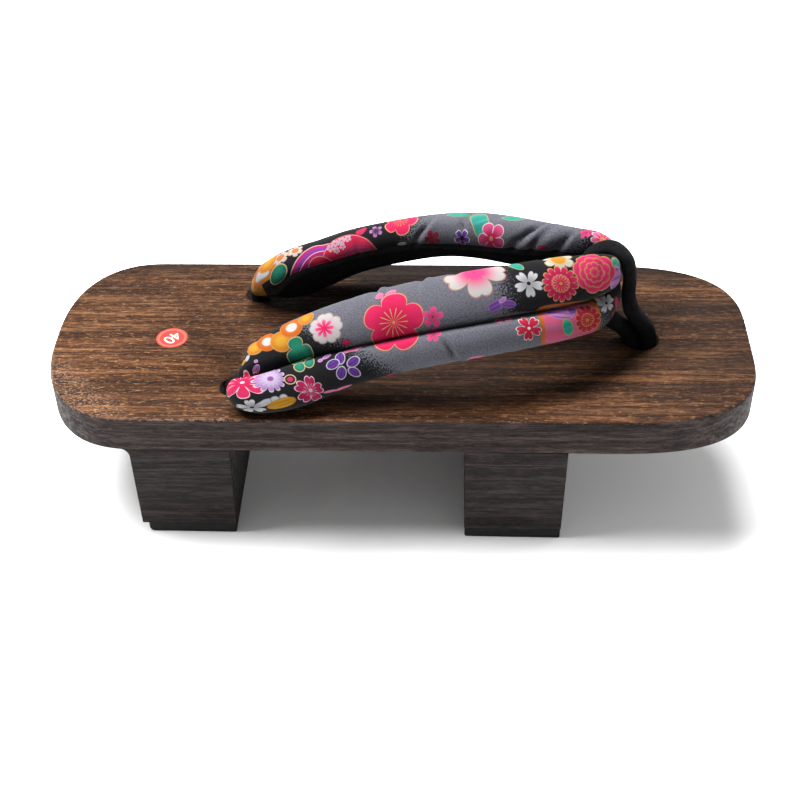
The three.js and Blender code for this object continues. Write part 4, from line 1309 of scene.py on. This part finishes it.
def strap_rings():
    """The strap's rings of points, right arm first, each point with its place in the print."""
    right = [(row[0], -row[1], *row[2:]) for row in arm_rows("right")]
    rows = right + arm_rows("left")[-2::-1]
    centres = [Vector((x, side, BOARD_TOP + rise)) for x, side, rise, *_ in rows]
    distance = [0.0]
    for here, ahead in zip(centres, centres[1:]):
        distance.append(distance[-1] + (ahead - here).length)
    bend = distance[len(right) - 1]
    rings = []
    for row, centre, way, run in zip(rows, centres, tangents(centres), distance):
        width, thick, lean, crease = row[3:]
        along = run - bend
        inward = Vector((0, 0, 1)).cross(way).normalized()
        upward = way.cross(inward)
        tilt = math.radians(lean)
        width_axis = inward * math.cos(tilt) + upward * math.sin(tilt)
        face_axis = upward * math.cos(tilt) - inward * math.sin(tilt)
        full = min(1.0, thick / CREASE["full_at_thick"])
        fill = LINING_FILL["extra"] * bell(along - LINING_FILL["at"], LINING_FILL["half_length"])
        section, full_round = strap_section(width, thick, crease)
        ring = []
        for spot in section:
            around = spot["round"]
            inside = print_edge(along, around)
            depth = fold_depth(along, around) * full
            depth += SEAM["depth"] * bell(inside, SEAM["half_width"])
            across = spot["across"] - depth * spot["skin"].x
            out = spot["out"] - depth * spot["skin"].y
            if out < 0:
                out *= 1 + fill
            point = centre + width_axis * across + face_axis * out
            point.z = max(point.z, BOARD_TOP + REST_GAP)
            ring.append({"point": point, "print": (along, around), "inside": inside,
                         "from_crease": spot["from_crease"], "full_round": full_round})
        rings.append(ring)
    return rings


def make_strap(prints, lining):
    bm = bmesh.new()
    print_map = bm.loops.layers.uv.new("mm")
    crease_layer = bm.verts.layers.float.new("from_crease")
    inside_layer = bm.verts.layers.float.new("inside_print")
    rings = strap_rings()
    loops = add_skin(bm, [[spot["point"] for spot in ring] for ring in rings])
    spots = {}
    for loop, ring in zip(loops, rings):
        for vert, spot in zip(loop, ring):
            spots[vert] = spot
            vert[crease_layer] = spot["from_crease"]
            vert[inside_layer] = spot["inside"]
    for face in bm.faces:
        found = [spots[corner.vert] for corner in face.loops]
        around = [spot["print"][1] for spot in found]
        wraps = max(around) - min(around) > found[0]["full_round"] / 2
        for corner, spot in zip(face.loops, found):
            along, round_it = spot["print"]
            if wraps and round_it > 0 and len(found) == 4:
                round_it -= spot["full_round"]
            corner[print_map].uv = (along, round_it)
        face.material_index = 0
        if wraps or len(found) > 4 or max(spot["inside"] for spot in found) < -LINING_OVERLAP:
            continue
        along = sum(spot["print"][0] for spot in found) / len(found)
        for index, (low, high, _) in enumerate(prints):
            if low <= along < high:
                face.material_index = index + 1
    for side in REAR_HOLE_SIDE.values():
        add_neck(bm, side)
    materials = [lining] + [material for _, _, material in prints]
    strap = finish_piece("strap_padded", bm, materials, ["strap"], SOFT)


def add_neck(bm, side):
    """The drawn-in end of a strap, from the pad down into its hole."""
    top_end, base_end, down = rear_hole_axis(side)
    inside = (side["x"] + NECK["forward"], side["inside"], BOARD_TOP + NECK["inside_rise"])
    path = [inside, tuple(top_end), tuple(base_end - down * NECK["end_up"])]
    centres = [Vector(row) for row in smooth_rows(path, NECK["steps"])]
    rings = []
    for i, (centre, way) in enumerate(zip(centres, tangents(centres))):
        inward = Vector((0, 1, 0)).cross(way).normalized()
        across = way.cross(inward)
        ring = []
        for k in range(NECK["sides"]):
            angle = 2 * math.pi * k / NECK["sides"]
            pleat = math.cos(NECK["pleats"] * angle + NECK["pleat_twist"] * i)
            radius = NECK["radius"] * (1 + NECK["pleat_depth"] * pleat)
            ring.append(centre + (inward * math.cos(angle) + across * math.sin(angle)) * radius)
        rings.append(ring)
    add_skin(bm, rings)


# ------------------------------------------------------------------ thong and knots


def make_thong(cloth):
    bm = bmesh.new()
    rows = smooth_rows(THONG, THONG_STEPS)
    centres = [Vector((x, 0, BOARD_TOP + rise)) for x, rise, _, _ in rows]
    sideways = Vector((0, 1, 0))
    rings = []
    for i, (row, centre, way) in enumerate(zip(rows, centres, tangents(centres))):
        width, thick = row[2:]
        out = sideways.cross(way)
        ring = []
        for k in range(THONG_SIDES):
            angle = 2 * math.pi * k / THONG_SIDES
            reach = 1 + sum(deep * math.sin(often * angle + twist * i)
                            for deep, often, twist in THONG_GATHERS)
            ring.append(centre + out * (thick / 2) * math.cos(angle) * reach
                        + sideways * (width / 2) * math.sin(angle) * reach)
        rings.append(ring)
    add_skin(bm, rings)
    piece = finish_piece("toe_thong_cloth", bm, [cloth], ["toe_thong"], SOFT)


def make_knot(name, cloth):
    x, y, reach = KNOTS[name]
    bm = bmesh.new()
    bmesh.ops.create_uvsphere(bm, u_segments=KNOT["around"], v_segments=KNOT["up"], radius=1.0)
    for vert in bm.verts:
        turn = math.atan2(vert.co.y, vert.co.x)
        wrap = math.sin(2 * turn + KNOT["twist"] * vert.co.z) * (1 - vert.co.z ** 2)
        vert.co *= KNOT["tight"] + KNOT["wrap"] * wrap
    bmesh.ops.scale(bm, vec=reach, verts=bm.verts)
    middle = BOARD_BASE - KNOT["gap"] - reach[2]
    bmesh.ops.translate(bm, vec=(x, y, middle), verts=bm.verts)
    finish_piece(f"{name}_cloth", bm, [cloth], [name], SOFT)


# Zones of the strap, each with its own cloth material: from where to where along it.
ZONES = [("right rear", -200, -112), ("right back", -112, -76), ("right middle", -76, -42),
         ("right front", -42, -22), ("right bend", -22, 0), ("left bend", 0, 24),
         ("left middle", 24, 78), ("left back", 78, 116), ("left rear", 116, 200)]
groups = {"flower": make_flower_group(), "patch": make_patch_group(),
          "weave": make_weave_group(), "nap": make_nap_group()}
prints = [(low, high, make_print(zone, low, high, groups)) for zone, low, high in ZONES]
black_cloth = make_black_cloth(groups["nap"])
make_strap(prints, black_cloth)
make_thong(black_cloth)
for name in KNOTS:
    make_knot(name, black_cloth)


# ------------------------------------------------------------------ size sticker


STICKER_RING = {"limits": (0.45, 0.2), "strength": 0.6, "soft": 0.3}
STICKER_REDS = {"dull": (190, 40, 26), "bright": (200, 52, 34), "rim": (208, 66, 50),
                "ring": (220, 124, 108)}


def make_sticker_paper():
    """Red paper with a paler ring near its edge."""
    material, n, shader = new_material("size sticker", Roughness=0.5, Specular_IOR_Level=0.2)
    place = add_place(n)
    x, y, _ = n.split(place)
    dx = n.minus(x, STICKER["x"])
    dy = n.minus(y, STICKER["y"])
    far = n.math("SQRT", n.plus(n.times(dx, dx), n.times(dy, dy)))
    ring = n.step(n.absolute(n.minus(far, STICKER["ring"])), *STICKER_RING["limits"])
    fade = n.noise(n.stretch(place, (0.6, 0.6, 0.6)), 1.0, 3.0)
    reds = {name: linear(*colour) for name, colour in STICKER_REDS.items()}
    red = n.mix(n.step(fade, 0.3, 0.7), reds["dull"], reds["bright"])
    rim = n.step(far, STICKER["ring"], STICKER["ring"] + STICKER_RING["soft"])
    red = n.mix(rim, red, reds["rim"])
    n.feed(shader["Base Color"],
           n.mix(n.times(ring, STICKER_RING["strength"]), red, reds["ring"]))
    return material


def make_sticker():
    bm = bmesh.new()
    bmesh.ops.create_cone(bm, cap_ends=True, segments=STICKER["sides"],
                          radius1=STICKER["radius"], radius2=STICKER["radius"] - STICKER["edge"],
                          depth=STICKER["thick"])
    height = BOARD_TOP + STICKER["lift"] + STICKER["thick"] / 2
    bmesh.ops.translate(bm, vec=(STICKER["x"], STICKER["y"], height), verts=bm.verts)
    finish_piece("size_sticker", bm, [make_sticker_paper()], smooth_angle=CRISP)


def make_digits():
    """The size number, in thin raised digits."""
    white, _, _ = new_material("sticker digits", Base_Color=linear(244, 226, 220), Roughness=0.4)
    text = bpy.data.curves.new("digits", "FONT")
    text.body = DIGITS["text"]
    text.align_x = "CENTER"
    text.align_y = "CENTER"
    text.size = DIGITS["size"]
    text.extrude = DIGITS["thick"]
    text.offset = DIGITS["bolder"]
    holder = bpy.data.objects.new("digits", text)
    bpy.context.collection.objects.link(holder)
    bpy.context.view_layer.update()
    bm = bmesh.new()
    bm.from_mesh(holder.to_mesh())
    bpy.data.objects.remove(holder)
    turn = Matrix.Rotation(math.radians(DIGITS["turn"]), 3, "Z")
    bmesh.ops.rotate(bm, cent=(0, 0, 0), verts=bm.verts, matrix=turn)
    height = BOARD_TOP + STICKER["thick"] + DIGITS["lift"]
    bmesh.ops.translate(bm, vec=(STICKER["x"], STICKER["y"], height), verts=bm.verts)
    finish_piece("size_digits", bm, [white], smooth_angle=CRISP)


make_sticker()
make_digits()
